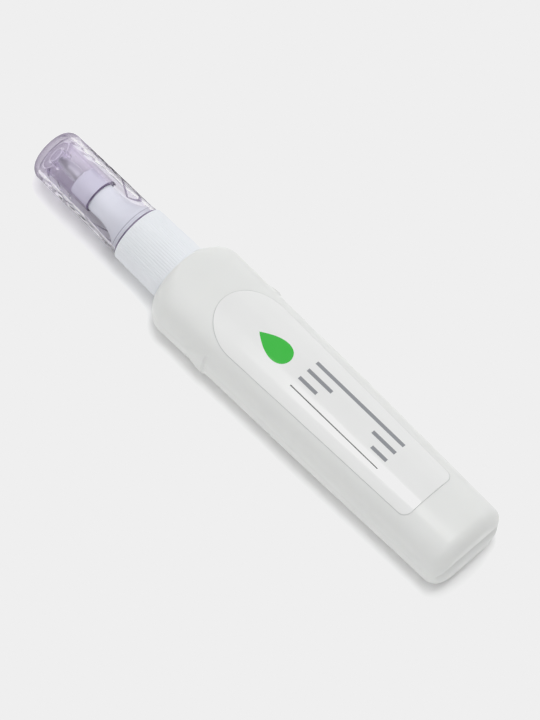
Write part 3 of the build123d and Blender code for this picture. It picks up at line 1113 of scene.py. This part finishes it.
@dataclass
class NozzleHead:
    """The collar with its ribs, the neck plug and the nozzle."""

    places: Places
    front_radius: float = 7.12
    rear_radius: float = 7.45
    rib_count: int = 72
    rib_depth: float = 0.12
    rib_round: float = 0.68
    rib_setback: float = 0.25
    rib_front_gap: float = 0.02
    web: float = 1.6
    neck_bore: float = 6.25
    plug_radius: float = 5.15
    plug_length: float = 8.0
    spigot_radius: float = 5.65
    spigot_length: float = 2.4
    nozzle_radius: float = 3.65
    flare_length: float = 6.6
    nozzle_length: float = 17.8
    edge: float = 0.4
    rear_gap: float = 0.02
    front_chamfer: float = 0.08
    spigot_chamfer: float = 0.1
    chamber_radius: float = 2.6
    chamber_front: float = 10.0
    retainer_bore: float = 4.17
    retainer_depth: float = 2.1
    tip_bore: float = 1.62
    flare_steps: int = 16
    edge_steps: int = 4
    segments: int = 144

    def outline(self) -> Outline:
        """The half section as a closed line.

        Returns:
            Pairs of radius and place along the pen.
        """
        mouth_y = self.places.mouth_y
        rear_y = self.places.ring_y + self.rear_gap
        socket_y = mouth_y - self.web
        plug_y = socket_y - self.plug_length
        seat_y = plug_y + self.retainer_depth
        throat_y = mouth_y + self.spigot_length + self.flare_length
        end_y = mouth_y + self.nozzle_length
        drop = self.spigot_radius - self.nozzle_radius
        flare_radius = (drop ** 2 + self.flare_length ** 2) / (2 * drop)
        line = [
            (self.neck_bore, rear_y),
            (self.rear_radius - self.rib_depth, rear_y),
            (self.front_radius - self.rib_depth, mouth_y - self.front_chamfer),
            (self.front_radius - self.rib_depth - self.front_chamfer, mouth_y),
            (self.spigot_radius + self.spigot_chamfer, mouth_y),
            (self.spigot_radius, mouth_y + self.spigot_chamfer),
            (self.spigot_radius, mouth_y + self.spigot_length),
        ]
        for step in range(1, self.flare_steps + 1):
            back = self.flare_length * (1 - step / self.flare_steps)
            fall = flare_radius - sqrt(flare_radius ** 2 - back ** 2)
            line.append((self.nozzle_radius + fall, throat_y - back))
        line.append((self.nozzle_radius, end_y - self.edge))
        for angle in quarter_turn(self.edge_steps):
            inset = self.edge * (1 - cos(angle))
            line.append((self.nozzle_radius - inset, end_y - self.edge * (1 - sin(angle))))
        line += [
            (self.tip_bore, end_y),
            (self.tip_bore, mouth_y + self.chamber_front),
            (self.chamber_radius, mouth_y + self.chamber_front),
            (self.chamber_radius, seat_y),
            (self.retainer_bore, seat_y),
            (self.retainer_bore, plug_y),
            (self.plug_radius, plug_y),
            (self.plug_radius, socket_y),
            (self.neck_bore, socket_y),
        ]
        return line

    def build(self, material: Material) -> Piece:
        """Make the collar and nozzle as one turned moulding in white plastic."""
        return turned_piece("nozzle_body", self.outline(), self.places.axis_z, self.segments, material)

    def build_ribs(self, material: Material) -> Piece:
        """Set round-backed ribs about the collar.

        Args:
            material: The white plastic.

        Returns:
            The piece.
        """
        tree = ShapeTree("collar_ribs", {
            "Ribs": self.rib_count,
            "Rear Radius": (self.rear_radius - self.rib_round) * MM,
            "Front Radius": (self.front_radius - self.rib_round) * MM,
            "Rear Y": (self.places.ring_y + self.rib_setback) * MM,
            "Front Y": (self.places.mouth_y - self.rib_front_gap) * MM,
            "Rib Round": self.rib_round * MM,
            "Axis Height": self.places.axis_z * MM,
        })
        given, add = tree.given, tree.add
        rear = add("ShaderNodeCombineXYZ", X=given["Rear Radius"], Y=given["Rear Y"])
        front = add("ShaderNodeCombineXYZ", X=given["Front Radius"], Y=given["Front Y"])
        path = add("GeometryNodeCurvePrimitiveLine", Start=rear, End=front)
        rib = tree.sweep(path, given["Rib Round"])
        points = add("GeometryNodePoints", Count=given["Ribs"])
        step = tree.math("DIVIDE", 2 * pi, given["Ribs"])
        turn = tree.math("MULTIPLY", add("GeometryNodeInputIndex"), step)
        rotation = add("FunctionNodeEulerToRotation", Euler=add("ShaderNodeCombineXYZ", Y=turn))
        ribs = add("GeometryNodeInstanceOnPoints", Points=points, Instance=rib, Rotation=rotation)
        lift = add("ShaderNodeCombineXYZ", Z=given["Axis Height"])
        moved = add("GeometryNodeTransform", Geometry=ribs, Translation=lift)
        return tree.bake(moved, material)


@dataclass
class ReturnSpring:
    """The wire spring behind the needle's slider, which shortens as the needle is pressed."""

    places: Places
    joint: str = "needle_press"
    mean_radius: float = 1.75
    wire: float = 0.4
    turns: float = 6.5
    turn_steps: int = 32
    seat_gap: float = 0.02

    def build(self, material: Material) -> Piece:
        """Wind the spring between the retainer and the slider.

        Args:
            material: The spring's wire.

        Returns:
            The piece.
        """
        low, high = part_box("return_spring")
        tree = ShapeTree("coil_spring", {
            "Turns": self.turns,
            "Mean Radius": self.mean_radius * MM,
            "Wire Radius": self.wire / 2 * MM,
            "Height": high.y - low.y - self.wire * MM,
            "Start Y": low.y + self.wire / 2 * MM,
            "Axis Height": self.places.axis_z * MM,
        })
        given, add = tree.given, tree.add
        path = add(
            "GeometryNodeCurveSpiral",
            Resolution=self.turn_steps,
            Rotations=given["Turns"],
            Start_Radius=given["Mean Radius"],
            End_Radius=given["Mean Radius"],
            Height=given["Height"],
        )
        coil = tree.sweep(path, given["Wire Radius"])
        place = add("ShaderNodeCombineXYZ", Y=given["Start Y"], Z=given["Axis Height"])
        along_pen = Euler((-pi / 2, 0.0, 0.0))
        moved = add("GeometryNodeTransform", Geometry=coil, Translation=place, Rotation=along_pen)
        return tree.bake(moved, material)

    def follow_needle(self, piece: Piece) -> None:
        """Give the spring a mesh of its own.

        Args:
            piece: The spring.
        """
        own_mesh(piece)


@dataclass
class MetalTip:
    """The turned metal tip that the fluid leaves by."""

    head: NozzleHead
    radius: float = 1.6
    bore: float = 1.15
    exposed: float = 7.1
    cone_length: float = 2.9
    end_radius: float = 0.75
    orifice_radius: float = 0.42
    orifice_length: float = 1.9
    seat_length: float = 1.0
    chamfer: float = 0.05
    groove: tuple[tuple[float, float], ...] = ((0.0, 0.5), (-0.08, 0.6), (-0.08, 0.8), (0.0, 0.9))
    cone_round: tuple[tuple[float, float], ...] = ((0.0, -0.1), (-0.03, 0.05))
    end_round: tuple[tuple[float, float], ...] = ((0.08, -0.1), (0.0, -0.03), (-0.05, 0.0))
    segments: int = 64

    def build(self, material: Material) -> Piece:
        """Make the tip with its seat, orifice and a turned groove.

        Args:
            material: The tip's metal.

        Returns:
            The piece.
        """
        places = self.head.places
        nozzle_y = places.mouth_y + self.head.nozzle_length
        start_y = places.mouth_y + self.head.chamber_front
        end_y = nozzle_y + self.exposed
        cone_y = end_y - self.cone_length
        seat_y = end_y - self.orifice_length
        outline = [
            (self.bore, start_y),
            (self.radius - self.chamfer, start_y),
            (self.radius, start_y + self.chamfer),
        ]
        for radius, y, offsets in (
            (self.radius, nozzle_y, self.groove),
            (self.radius, cone_y, self.cone_round),
            (self.end_radius, end_y, self.end_round),
        ):
            outline += [(radius + out, y + along) for out, along in offsets]
        outline += [
            (self.orifice_radius, end_y),
            (self.orifice_radius, seat_y),
            (self.bore, seat_y - self.seat_length),
        ]
        return turned_piece("metal_tip", outline, places.axis_z, self.segments, material)


@dataclass
class ClearCap:
    """The clear push-on cap with its sealing tube, tip cup and ribbed grip panels."""

    places: Places
    mouth_radius: float = 6.56
    end_radius: float = 6.4
    edge_round: float = 2.6
    dome: float = 0.3
    wall: float = 1.2
    end_wall: float = 2.0
    band_length: float = 1.4
    band_proud: float = 0.08
    socket_length: float = 4.0
    socket_radius: float = 5.75
    taper_length: float = 5.5
    tube_bore: float = 3.73
    tube_wall: float = 0.4
    tube_mouth: float = 12.0
    cup_bore: float = 1.7
    cup_wall: float = 0.6
    cup_length: float = 2.6
    # lengths of the dark bands of painted shade at the sealing tube's rim and at the cap's mouth
    cut_edge: float = 0.36
    mouth_edge: float = 0.5
    grip_turn: float = 46.0
    grip_start: float = 5.0
    grip_depth: float = 0.6
    run_out: float = 3.95
    run_out_slant: float = 45.0
    rib_places: tuple[float, ...] = (17.1, 20.6, 24.1)
    rib_width: float = 1.5
    rib_slant: float = 40.0
    fold_width: float = 0.5
    fold_rise: float = 0.12
    fold_margin: float = 0.02
    rib_soft: float = 0.16
    rib_crest: float = 0.05
    edge_blend: float = 0.12
    mouth_chamfer: float = 0.15
    chamfer_round: float = 0.04
    band_edge: float = 0.05
    band_edge_share: float = 0.7
    band_margin: float = 0.06
    lip: float = 0.1
    corner_round: float = 0.3
    corner_inset: float = 0.09
    end_margin: float = 0.01
    round_steps: int = 12
    dome_steps: int = 9
    segments: int = 300
    row_step: float = 0.2
    sharp_angle: float = 40.0

    @property
    def length(self) -> float:
        """The distance from the collar to the cap's end."""
        return self.places.cap_end_y - self.places.mouth_y

    def plain_radius(self, along: float) -> float:
        """The outer radius before the band and the grip panels, by the distance from the collar."""
        return self.mouth_radius + (self.end_radius - self.mouth_radius) * along / self.length

    def panel_turn(self, angle: float) -> float:
        """The angle from the middle of the nearer grip panel."""
        return (angle - radians(self.grip_turn) + pi / 2) % pi - pi / 2

    def past_slope(self, along: float, up: float) -> float:
        """How far a place on a grip panel lies past the foot of the panel's slope."""
        slant = radians(self.run_out_slant)
        return (along - self.grip_start - self.run_out) * cos(slant) + up * sin(slant)

    def past_ribs(self, along: float, up: float) -> list[float]:
        """How far a place on a grip panel lies past each rib's crest."""
        slant = radians(self.rib_slant)
        return [(along - place) * cos(slant) - up * sin(slant) for place in self.rib_places]

    def rib_height(self, along: float, up: float) -> float:
        """How far the slanted ribs stand off the grip panel.

        Args:
            along: The distance from the collar.
            up: The height above the axis, counted the panel's own way.

        Returns:
            The height in millimetres.
        """
        soft = self.rib_soft
        height = 0.0
        for past in self.past_ribs(along, up):
            off = abs(past) / (self.rib_width / 2)
            if off < soft:
                share = 1 - soft / 2 - off * off / (2 * soft)
            elif off < 1 - soft:
                share = 1 - off
            else:
                share = max(1 + soft - off, 0.0) ** 2 / (4 * soft)
            height = max(height, share * self.grip_depth)
        return height

    def grip_radius(self, radius: float, along: float, angle: float) -> float:
        """The outer radius with the grip panels cut in.

        Args:
            radius: The radius before the cut.
            along: The distance from the collar.
            angle: The place round the cap, from +X.

        Returns:
            The radius in millimetres.
        """
        turn = self.panel_turn(angle)
        if abs(turn) > pi / 4:
            return radius
        flat = self.end_radius - self.grip_depth
        up = flat * tan(turn)
        slope_run = self.run_out * cos(radians(self.run_out_slant))
        level = flat + self.grip_depth * max(-self.past_slope(along, up), 0.0) / slope_run
        level = max(level, flat + self.rib_height(along, up))
        return soft_min(radius, level / cos(turn), self.edge_blend)

    def outer_rows(self) -> Outline:
        """The outer profile from the mouth's edge to the rim of the dome.

        Returns:
            Pairs of radius and distance from the collar.
        """
        start = self.places.seat_gap
        band = self.plain_radius(start) + self.band_proud
        band_end = self.plain_radius(self.band_length)
        along = self.band_length + self.band_proud
        rows = [
            (band - self.mouth_chamfer, start),
            (band - self.chamfer_round, start + self.chamfer_round),
            (band, start + self.mouth_chamfer),
            (self.plain_radius(self.mouth_edge) + self.band_proud, self.mouth_edge),
            (band_end + self.band_proud, self.band_length - self.band_edge),
            (band_end + self.band_proud * self.band_edge_share, self.band_length),
            (band_end, along),
        ]
        round_start = self.length - self.dome - self.edge_round
        count = int((round_start - along) / self.row_step)
        for step in range(1, count + 1):
            place = along + (round_start - along) * step / count
            rows.append((self.plain_radius(place), place))
        rim = self.plain_radius(round_start) - self.edge_round
        for angle in quarter_turn(self.round_steps):
            rows.append((rim + self.edge_round * cos(angle), round_start + self.edge_round * sin(angle)))
        dome_radius = (rim ** 2 + self.dome ** 2) / (2 * self.dome)
        for step in range(1, self.dome_steps):
            radius = rim * (1 - step / self.dome_steps)
            rows.append((radius, self.length - dome_radius + sqrt(dome_radius ** 2 - radius ** 2)))
        return rows

    def inner_rows(self) -> Outline:
        """The inner profile from the middle of the end wall to the mouth.

        Returns:
            Pairs of radius and distance from the collar.
        """
        inside = self.length - self.end_wall
        cup_outer = self.cup_bore + self.cup_wall
        cup_mouth = inside - self.cup_length
        tube_outer = self.tube_bore + self.tube_wall
        end_wall_radius = self.plain_radius(inside) - self.wall
        taper_end = self.socket_length + self.taper_length
        tube_edge = self.tube_mouth + self.cut_edge
        lip = self.lip
        return [
            (self.cup_bore, inside),
            (self.cup_bore, cup_mouth + lip),
            (self.cup_bore + lip, cup_mouth),
            (cup_outer - lip, cup_mouth),
            (cup_outer, cup_mouth + lip),
            (cup_outer, inside),
            (self.tube_bore, inside),
            (self.tube_bore, tube_edge),
            (self.tube_bore, self.tube_mouth + lip),
            (self.tube_bore + lip, self.tube_mouth),
            (tube_outer - lip, self.tube_mouth),
            (tube_outer, self.tube_mouth + lip),
            (tube_outer, tube_edge),
            (tube_outer, inside),
            (end_wall_radius - self.corner_round, inside),
            (end_wall_radius - self.corner_inset, inside - self.corner_inset),
            (end_wall_radius, inside - self.corner_round),
            (self.plain_radius(taper_end) - self.wall, taper_end),
            (self.socket_radius, self.socket_length),
            (self.socket_radius, self.places.seat_gap + self.mouth_chamfer),
            (self.socket_radius + self.mouth_chamfer, self.places.seat_gap),
        ]

    def on_tube(self, along: float, radius: float) -> bool:
        """Whether a place lies on the sealing tube's wall."""
        near = self.tube_bore - self.lip < radius < self.tube_bore + self.tube_wall + self.lip
        return near and along < self.length - self.end_wall - self.end_margin

    def on_shaded_rim(self, along: float, radius: float) -> bool:
        """Whether a place lies in the dark band of painted shade at the mouth's edge or at the sealing
        tube's edge.
        """
        tube_edge = self.tube_mouth + self.cut_edge
        return along < self.mouth_edge or (along < tube_edge and self.on_tube(along, radius))

    def on_dark_stroke(self, along: float, across: float, height: float) -> bool:
        """Whether a place takes the dark strokes of painted shade: the band's step, a rib's shaded flank
        or a fold of a panel's slope.

        Args:
            along: The distance from the collar.
            across: The place across the pen.
            height: The height above the axis.

        Returns:
            True on any of them.
        """
        radius = hypot(across, height)
        past_band = along - self.band_length
        if radius > self.end_radius and -self.band_margin < past_band < self.band_proud:
            return True
        turn = self.panel_turn(atan2(height, across))
        outer = self.plain_radius(along)
        flat = self.end_radius - self.grip_depth
        if abs(turn) > pi / 4 or radius < flat or radius > outer - self.fold_margin:
            return False
        up = radius * sin(turn)
        past_slope = self.past_slope(along, up)
        if abs(past_slope) < self.fold_width / 2:
            return True
        if past_slope < 0 and radius > outer - self.fold_rise:
            return True
        return any(self.rib_crest < past < self.rib_width / 2 for past in self.past_ribs(along, up))

    def part_at(self, along: float, across: float, height: float) -> CapPart:
        """Which part of the cap a place belongs to.

        Args:
            along: The distance from the collar.
            across: The place across the pen.
            height: The height above the axis.

        Returns:
            The part.
        """
        radius = hypot(across, height)
        if self.on_shaded_rim(along, radius):
            return CapPart.EDGE
        if self.on_dark_stroke(along, across, height):
            return CapPart.DARK_STROKE
        if self.on_tube(along, radius):
            return CapPart.TUBE
        if along > self.length - self.dome - self.edge_round:
            return CapPart.END
        if radius < self.socket_radius + self.fold_margin:
            return CapPart.INSIDE
        return CapPart.CLEAR

    def build(self, finishes: dict[CapPart, Material]) -> Piece:
        """Make the cap as one closed moulding.

        Args:
            finishes: The finishes of its parts.

        Returns:
            The piece.
        """
        mouth_y = self.places.mouth_y
        axis_z = self.places.axis_z
        turns = full_turn(self.segments)
        skin = RingSkin()
        skin.pole((0.0, self.places.cap_end_y - self.end_wall, axis_z))
        for radius, along in self.inner_rows():
            skin.ring([(radius * cos(a), mouth_y + along, axis_z + radius * sin(a)) for a in turns])
        for radius, along in self.outer_rows():
            reach = [self.grip_radius(radius, along, a) for a in turns]
            skin.ring([(r * cos(a), mouth_y + along, axis_z + r * sin(a)) for r, a in zip(reach, turns)])
        skin.pole((0.0, self.places.cap_end_y, axis_z))
        clear = finishes[CapPart.CLEAR]
        piece = mesh_piece("clear_cap", skin.points, skin.faces, clear, self.sharp_angle)
        for part in list(CapPart)[1:]:
            piece.data.materials.append(finishes[part])
        for face in piece.data.polygons:
            x, y, z = face.center / MM
            face.material_index = self.part_at(y - mouth_y, x, z - axis_z).value
        return piece


@dataclass(frozen=True)
class SoftLight:
    """A patch of the studio's light tent, brightest in its middle and fading to its edge."""

    towards: Colour
    spread: float
    strength: float


@dataclass
class Studio:
    """The pale floor, the soft light and the camera."""

    places: Places
    floor_size: float = 6.0
    floor_colour: Colour = (0.95, 0.95, 0.95)
    floor_roughness: float = 0.9
    tent_strength: float = 0.36
    lights: tuple[SoftLight, ...] = (
        SoftLight((-0.25, 0.0, 0.97), 45.0, 1.6),
        SoftLight((-0.7, 0.1, 0.7), 50.0, 0.05),
        SoftLight((0.8, 0.3, 0.5), 45.0, 1.15),
    )
    softbox_middle: Point = (52.0, 30.0, 365.0)
    softbox_size: tuple[float, float] = (95.0, 100.0)
    softbox_power: float = 0.17
    floor_light_strength: float = 0.65
    floor_light_spread: float = 14.0
    white: float = 0.863
    towards_camera: Colour = (-0.358, -0.296, 0.886)
    roll: float = 43.9
    distance: float = 1300.0
    focal_pixels: float = 5904.0
    mouth_pixel: tuple[float, float] = (138.0, 233.7)
    image_size: tuple[int, int] = (540, 720)
    sensor: float = 36.0
    clip_start: float = 0.01

    def build_floor(self) -> None:
        """Lay a plain pale floor under the pen, with a light of its own that keeps it white."""
        half = self.floor_size / 2
        mesh = bpy.data.meshes.new("floor")
        corners = [(-half, -half, 0), (half, -half, 0), (half, half, 0), (-half, half, 0)]
        mesh.from_pydata(corners, [], [(0, 1, 2, 3)])
        sketch = FinishSketch("pale_floor")
        sketch.fill(
            sketch.shader,
            Base_Color=self.floor_colour,
            Roughness=self.floor_roughness,
            Specular_IOR_Level=0.0,
        )
        mesh.materials.append(sketch.material)
        floor = linked("floor", mesh)
        lit = bpy.data.collections.new("floor_only")
        lit.objects.link(floor)
        lamp = bpy.data.lights.new("floor_light", "SUN")
        lamp.energy = self.floor_light_strength
        lamp.angle = radians(self.floor_light_spread)
        linked("floor_light", lamp).light_linking.receiver_collection = lit

    def build_light(self) -> None:
        """Light the pen with a white tent that has a few brighter patches."""
        world = bpy.data.worlds.new("studio")
        world.use_nodes = True
        tree = world.node_tree
        sketch = NodeSketch(tree)
        direction = sketch.add("ShaderNodeTexCoord", "Generated")
        total: object = self.tent_strength
        for light in self.lights:
            facing = tree.nodes.new("ShaderNodeVectorMath")
            facing.operation = "DOT_PRODUCT"
            sketch.feed(facing.inputs[0], direction)
            sketch.feed(facing.inputs[1], Vector(light.towards).normalized())
            patch = tree.nodes.new("ShaderNodeMapRange")
            patch.interpolation_type = "SMOOTHERSTEP"
            edge = cos(radians(light.spread))
            sketch.fill(patch, Value=facing.outputs["Value"], From_Min=edge, To_Max=light.strength)
            total = sketch.math("ADD", total, patch.outputs[0])
        sketch.fill(tree.nodes["Background"], Strength=total, Color=(1.0, 1.0, 1.0))
        bpy.context.scene.world = world

    def build_softbox(self) -> None:
        """Hang a small softbox over the pen for its streaks of gloss."""
        lamp = bpy.data.lights.new("softbox", "AREA")
        lamp.shape = "RECTANGLE"
        lamp.size, lamp.size_y = (side * MM for side in self.softbox_size)
        lamp.energy = self.softbox_power
        linked("softbox", lamp).location = Vector(self.softbox_middle) * MM

    def set_display(self) -> None:
        """Show the light tent's white, and anything brighter, as one pale grey."""
        view = bpy.context.scene.view_settings
        view.view_transform = "Standard"
        view.use_curve_mapping = True
        view.curve_mapping.extend = "HORIZONTAL"
        view.curve_mapping.curves[3].points[1].location = (1.0, self.white)
        view.curve_mapping.update()

    def build_camera(self) -> None:
        """Set the camera at the photograph's angle, with a long lens."""
        towards = Vector(self.towards_camera).normalized()
        along = Vector((0.0, -1.0, 0.0))
        along = (along - along.dot(towards) * towards).normalized()
        across = along.cross(towards)
        turn = radians(self.roll)
        right = along * cos(turn) - across * sin(turn)
        down = along * sin(turn) + across * cos(turn)
        width, height = self.image_size
        aim = (
            -towards * self.focal_pixels
            + right * (width / 2 - self.mouth_pixel[0])
            + down * (height / 2 - self.mouth_pixel[1])
        ).normalized()
        right = (right - right.dot(aim) * aim).normalized()
        up = right.cross(aim)
        mouth = Vector((0.0, self.places.mouth_y, self.places.axis_z)) * MM
        lens = bpy.data.cameras.new("camera")
        lens.sensor_width = self.sensor
        lens.lens = self.focal_pixels * self.sensor / max(self.image_size)
        lens.clip_start = self.clip_start
        camera = linked("camera", lens)
        turned = Matrix((right, up, -aim)).transposed().to_4x4()
        turned.translation = mouth + towards * self.distance * MM
        camera.matrix_world = turned
        bpy.context.scene.camera = camera


def dress_nodes() -> None:
    """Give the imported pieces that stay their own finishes."""
    steel = TurnedSteel("bright_steel", (0.62, 0.62, 0.63), (0.52, 0.52, 0.54), (0.16, 0.30), 2500.0)
    guide = MouldedPlastic(
        "guide_plastic", (0.72, 0.73, 0.72), (0.66, 0.67, 0.67), (0.36, 0.48), 2600.0, 0.000006
    )
    steel_finish, guide_finish = steel.build(), guide.build()
    finishes = {
        "valve_needle": steel_finish,
        "mixing_ball": steel_finish,
        "needle_slider": guide_finish,
        "spring_retainer": guide_finish,
    }
    for name, material in finishes.items():
        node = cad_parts[name]
        for slot in node.material_slots:
            slot.material = material
        LOG.info("%s: %s", name, material.name)


def cap_finishes() -> dict[CapPart, Material]:
    """Make the finishes of the cap's parts.

    Returns:
        The finishes by part.
    """
    tint = (0.95, 0.942, 0.972)
    finishes = {
        # each clear finish's second colour is its rim tint, partly real deeper tint and partly painted
        # shade; the wall's near-black rim and the end's dark rim are painted shade
        CapPart.CLEAR: ClearPlastic("clear_cap_plastic", tint, (0.08, 0.06, 0.11), edge_falloff=3.0),
        # painted shade: an opaque dark purple for the shadow gap at the mouth and the dark ring at the
        # tube's rim
        CapPart.EDGE: MouldedPlastic(
            "cap_painted_shade_rim", (0.15, 0.115, 0.20), (0.18, 0.14, 0.235), (0.1, 0.2), 900.0, 0.000004
        ),
        # painted shade: a dark tint for the strokes on the band's step, the ribs' flanks and the panels'
        # folds
        CapPart.DARK_STROKE: ClearPlastic("cap_painted_stroke_shade", (0.20, 0.17, 0.25), (0.16, 0.13, 0.20)),
        CapPart.TUBE: ClearPlastic("cap_tube_plastic", (0.968, 0.957, 0.978), (0.86, 0.83, 0.89), 0.92),
        CapPart.END: ClearPlastic("cap_end_plastic", (0.90, 0.878, 0.925), (0.34, 0.30, 0.38), 0.85),
        CapPart.INSIDE: ClearPlastic("cap_inside_plastic", tint, (0.74, 0.69, 0.79)),
    }
    return {part: finish.build() for part, finish in finishes.items()}


def build_pen(places: Places) -> None:
    """Build the pen's pieces and put each on its body.

    Args:
        places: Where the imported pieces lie.
    """
    bottle_plastic = MouldedPlastic(
        "bottle_plastic",
        (0.80, 0.81, 0.795),
        (0.785, 0.795, 0.782),
        (0.285, 0.33),
        900.0,
        0.000001,
        cloud_scale=120.0,
        glow=0.15,
    ).build()
    # painted shade: a grey for the label's bevelled rim, for the shadow line along its edge
    label_rim_shade = MouldedPlastic(
        "label_rim_shade", (0.66, 0.67, 0.665), (0.63, 0.64, 0.635), (0.4, 0.5), 900.0, 0.000002
    ).build()
    head_plastic = MouldedPlastic(
        "head_plastic", (0.835, 0.857, 0.895), (0.825, 0.847, 0.885), (0.32, 0.42), 2200.0, 0.000005
    ).build()
    tip_metal = TurnedSteel(
        "tip_metal", (0.68, 0.68, 0.70), (0.62, 0.62, 0.64), (0.46, 0.56), 4000.0
    ).build()
    spring_wire = TurnedSteel(
        "spring_wire", (0.50, 0.50, 0.52), (0.40, 0.41, 0.43), (0.22, 0.38), 3000.0
    ).build()
    bottle = Bottle(places)
    settle(bottle.build(bottle_plastic), Body.BARREL, Slot.BOTTLE, "squeeze_bottle")
    label = Label(bottle).build(LabelFilm("label_film").build(), label_rim_shade)
    settle(label, Body.BARREL, Slot.LABEL, "front_label")
    head = NozzleHead(places)
    settle(head.build(head_plastic), Body.BARREL, Slot.HEAD, "nozzle_head")
    settle(head.build_ribs(head_plastic), Body.BARREL, Slot.HEAD)
    settle(MetalTip(head).build(tip_metal), Body.BARREL, Slot.TIP, "tip_tube")
    spring = ReturnSpring(places)
    coil = spring.build(spring_wire)
    settle(coil, Body.BARREL, Slot.SPRING, "return_spring")
    spring.follow_needle(coil)
    settle(ClearCap(places).build(cap_finishes()), Body.CAP, Slot.CAP, "cap_shell")


def main() -> None:
    """Build the pen's pieces, then the floor, the light and the camera."""
    logging.basicConfig(level=logging.INFO, format="%(message)s")
    places = Places.from_frame()
    build_pen(places)
    dress_nodes()
    studio = Studio(places)
    studio.build_floor()
    studio.build_light()
    studio.build_softbox()
    studio.set_display()
    studio.build_camera()


if __name__ == "__main__":
    main()
